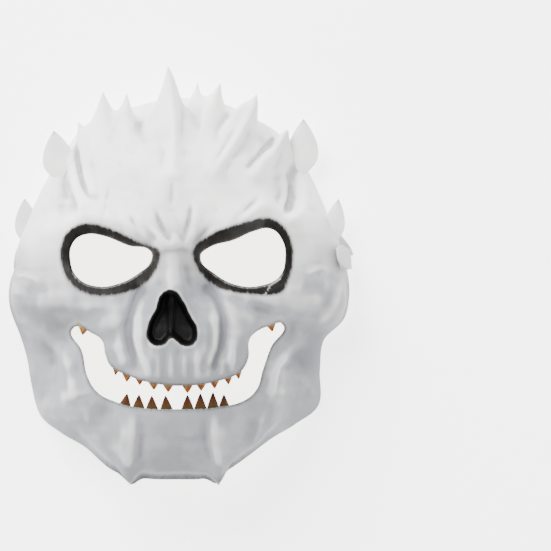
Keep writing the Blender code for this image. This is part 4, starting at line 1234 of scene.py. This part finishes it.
def strap_half(end):
    """Half of the strap's route, from its end on the wall, with its width direction at each point."""
    middle, normal, down = pad_seat(end)
    centre = middle - normal * (0.5 * PAD_THICKNESS + GAP + 0.5 * STRAP_THICKNESS)
    across = normal.cross(down) * end.side
    rim_z = float(rim_rise(np.array([end.y]))[0])
    floor_z = GAP + 0.5 * STRAP_THICKNESS
    shoulder = centre + down * 0.55 * PAD_DIAMETER
    straight_on = centre + down * (centre.z - rim_z + STRAP_THICKNESS) / abs(down.z)
    out = 0.6 * abs(shoulder.x) + 0.4 * abs(straight_on.x)
    level = Vector((0.0, 0.0, 0.0))
    route = [(centre - down * 0.2 * PAD_DIAMETER, across), (centre, across), (shoulder, across)]
    for inward, height in ((0.0, rim_z - STRAP_THICKNESS), (0.5 * STRAP_THICKNESS, 0.45 * rim_z)):
        route.append((Vector((end.side * (out - inward), end.y, height)), across))
    route.append((Vector((end.side * (out - 2.5 * STRAP_THICKNESS), end.y, 1.5 * floor_z)), level))
    for row in LYING:
        x = end.side * out * row.inward
        route.append((Vector((x, end.y + row.up * (STRAP_REACH - end.y), floor_z)), level))
    return route


def smooth_route(route):
    """Points of a smooth curve through the route's own points, with their width directions."""
    places = []
    rows = [route[0]] + route + [route[-1]]
    for a, b, c, d in zip(rows, rows[1:], rows[2:], rows[3:]):
        for k in range(STRAP_STEPS):
            t = k / STRAP_STEPS
            point = between(a[0], b[0], c[0], d[0], t)
            point.z = max(point.z, GAP + 0.5 * STRAP_THICKNESS)
            places.append((point, b[1].lerp(c[1], eased(t))))
    places.append(route[-1])
    return places


def tape_section():
    """Outline of the tape's cross-section: shares of its half width and its half thickness."""
    shares = np.sin(np.linspace(-0.5, 0.5, 45) * math.pi)
    swell = np.sqrt(1.0 - np.abs(shares) ** 12)
    groove = RIB_DEPTH / STRAP_THICKNESS * (1.0 + np.cos(2.0 * math.pi * RIBS * shares)) * swell
    height = swell - groove
    return list(zip(shares, height)) + list(zip(shares[-2:0:-1], -height[-2:0:-1]))


def elastic_tape():
    """The tape, its cross-section lofted along its route."""
    strap_middle = (Vector((0.0, STRAP_REACH, GAP + 0.5 * STRAP_THICKNESS)), Vector())
    right, left = [strap_half(end) for end in STRAP_ENDS]
    route = smooth_route(right + [strap_middle] + left[::-1])
    section = tape_section()
    shape = bmesh.new()
    rings = []
    lengths = []
    travelled = 0.0
    for i, (point, hint) in enumerate(route):
        before = route[max(i - 1, 0)][0]
        after = route[min(i + 1, len(route) - 1)][0]
        travelled += (point - before).length
        along = (after - before).normalized()
        level = Vector((-along.y, along.x, 0.0)).normalized()
        level *= (1.0 - hint.length) * math.copysign(1.0, level.y)
        wide = hint + level
        wide = (wide - along * wide.dot(along)).normalized()
        thick = along.cross(wide).normalized() * 0.5 * STRAP_THICKNESS
        wide *= 0.5 * STRAP_WIDTH
        rings.append([shape.verts.new(point + wide * s + thick * h) for s, h in section])
        lengths += [travelled] * len(section)
    for near, far in zip(rings, rings[1:]):
        for k in range(len(section)):
            after = (k + 1) % len(section)
            shape.faces.new((near[k], near[after], far[after], far[k]))
    shape.faces.new(rings[0][::-1])
    shape.faces.new(rings[-1])
    mesh = bpy.data.meshes.new("elastic_tape")
    stored(shape, mesh)
    put_attributes(mesh, tape_along=lengths, tape_across=[s for s, h in section] * len(rings))
    mesh.shade_smooth()
    thing = bpy.data.objects.new("elastic_tape", mesh)
    bpy.context.scene.collection.objects.link(thing)
    return thing


def weave_paint():
    """White weave: fine threads across the ribs."""
    material, tree, shader = new_material("woven_polyester_elastic", 0.82, 1.5)
    turns = [combined(tree, "MULTIPLY", attribute_of(tree, name), count) for name, count in (
        ("tape_along", THREAD_TURNS), ("tape_across", CORD_TURNS))]
    weave = combined(tree, "MULTIPLY", *[combined(tree, "SINE", turn, 0.0) for turn in turns])
    share = stretched(tree, weave, -1.0, 1.0, 0.0, 1.0)
    colour = blended(tree, share, linear(ELASTIC_SHADE), linear(ELASTIC_WHITE))
    tree.links.new(colour, shader.inputs["Base Color"])
    bumped(tree, shader, weave, 0.5, 0.0002)
    return material


def foam_sheet():
    """Light grey foam with small pores."""
    material, tree, shader = new_material("soft_foam_sheet", 0.85, 1.45)
    place = add_node(tree, "ShaderNodeTexCoord", {}, {}).outputs["Object"]
    pores = add_node(tree, "ShaderNodeTexVoronoi", {}, {"Vector": place, "Scale": 2600.0}).outputs["Distance"]
    colour = blended(tree, stretched(tree, pores, 0.0, 0.35, 0.0, 1.0), linear(PAD_PORE), linear(PAD_GREY))
    tree.links.new(colour, shader.inputs["Base Color"])
    bumped(tree, shader, pores, 0.5, 0.0002)
    return material


def pad_disc(end):
    """A ball pressed to a disc with a rounded edge, a little domed on its outer side."""
    middle, normal, down = pad_seat(end)
    deselect_all()
    bpy.ops.mesh.primitive_uv_sphere_add(segments=72, ring_count=36, radius=1.0)
    pad = bpy.context.active_object
    for vert in pad.data.vertices:
        out = math.hypot(vert.co.x, vert.co.y)
        spread = 0.5 * PAD_DIAMETER * out**PAD_EDGE / out if out > 1e-6 else 0.0
        height = 0.5 * PAD_THICKNESS * math.copysign(abs(vert.co.z) ** PAD_EDGE, vert.co.z)
        if vert.co.z > 0.0:
            height += PAD_DOME * (1.0 - out * out)
        vert.co = (vert.co.x * spread, vert.co.y * spread, height)
    turn = Matrix((down, normal.cross(down), normal)).transposed().to_4x4()
    turn.translation = middle
    pad.data.transform(turn)
    pad.data.shade_smooth()
    pad.name = end.pad + "_foam"
    return pad


ELASTIC_WHITE = "#E9E9E6"
ELASTIC_SHADE = "#B9B9B6"
THREAD_TURNS = 5600.0
CORD_TURNS = 66.0
tape = elastic_tape()
tape.data.materials.append(weave_paint())
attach(tape, "root")
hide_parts("elastic_strap")

PAD_GREY = "#C9C9CC"
PAD_PORE = "#9C9CA1"
PAD_EDGE = 0.34
PAD_DOME = 0.0003
pad_foam = foam_sheet()
for end in STRAP_ENDS:
    pad = pad_disc(end)
    pad.data.materials.append(pad_foam)
    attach(pad, "root")
    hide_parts(end.pad)


# Lights
# Soft studio light: a wide softbox high on the left, a weaker one on the right, and a bright room.
SKY_STRENGTH = 0.9
world = bpy.data.worlds.new("studio")
world.use_nodes = True
sky = world.node_tree.nodes["Background"].inputs
sky["Color"].default_value = linear("#FFFFFF")
sky["Strength"].default_value = SKY_STRENGTH
bpy.context.scene.world = world
Softbox = namedtuple("Softbox", "place size power")
SOFTBOXES = {
    "key": Softbox((-1.0, 1.35, 1.40), 1.4, 140.0),
    "fill": Softbox((1.3, -0.4, 1.5), 1.6, 22.0),
}
for name, box in SOFTBOXES.items():
    light_data = bpy.data.lights.new(name, "AREA")
    light_data.size = box.size
    light_data.energy = box.power
    light = bpy.data.objects.new(name, light_data)
    light.location = box.place
    light.rotation_euler = (-Vector(box.place)).to_track_quat("-Z", "Y").to_euler()
    bpy.context.scene.collection.objects.link(light)
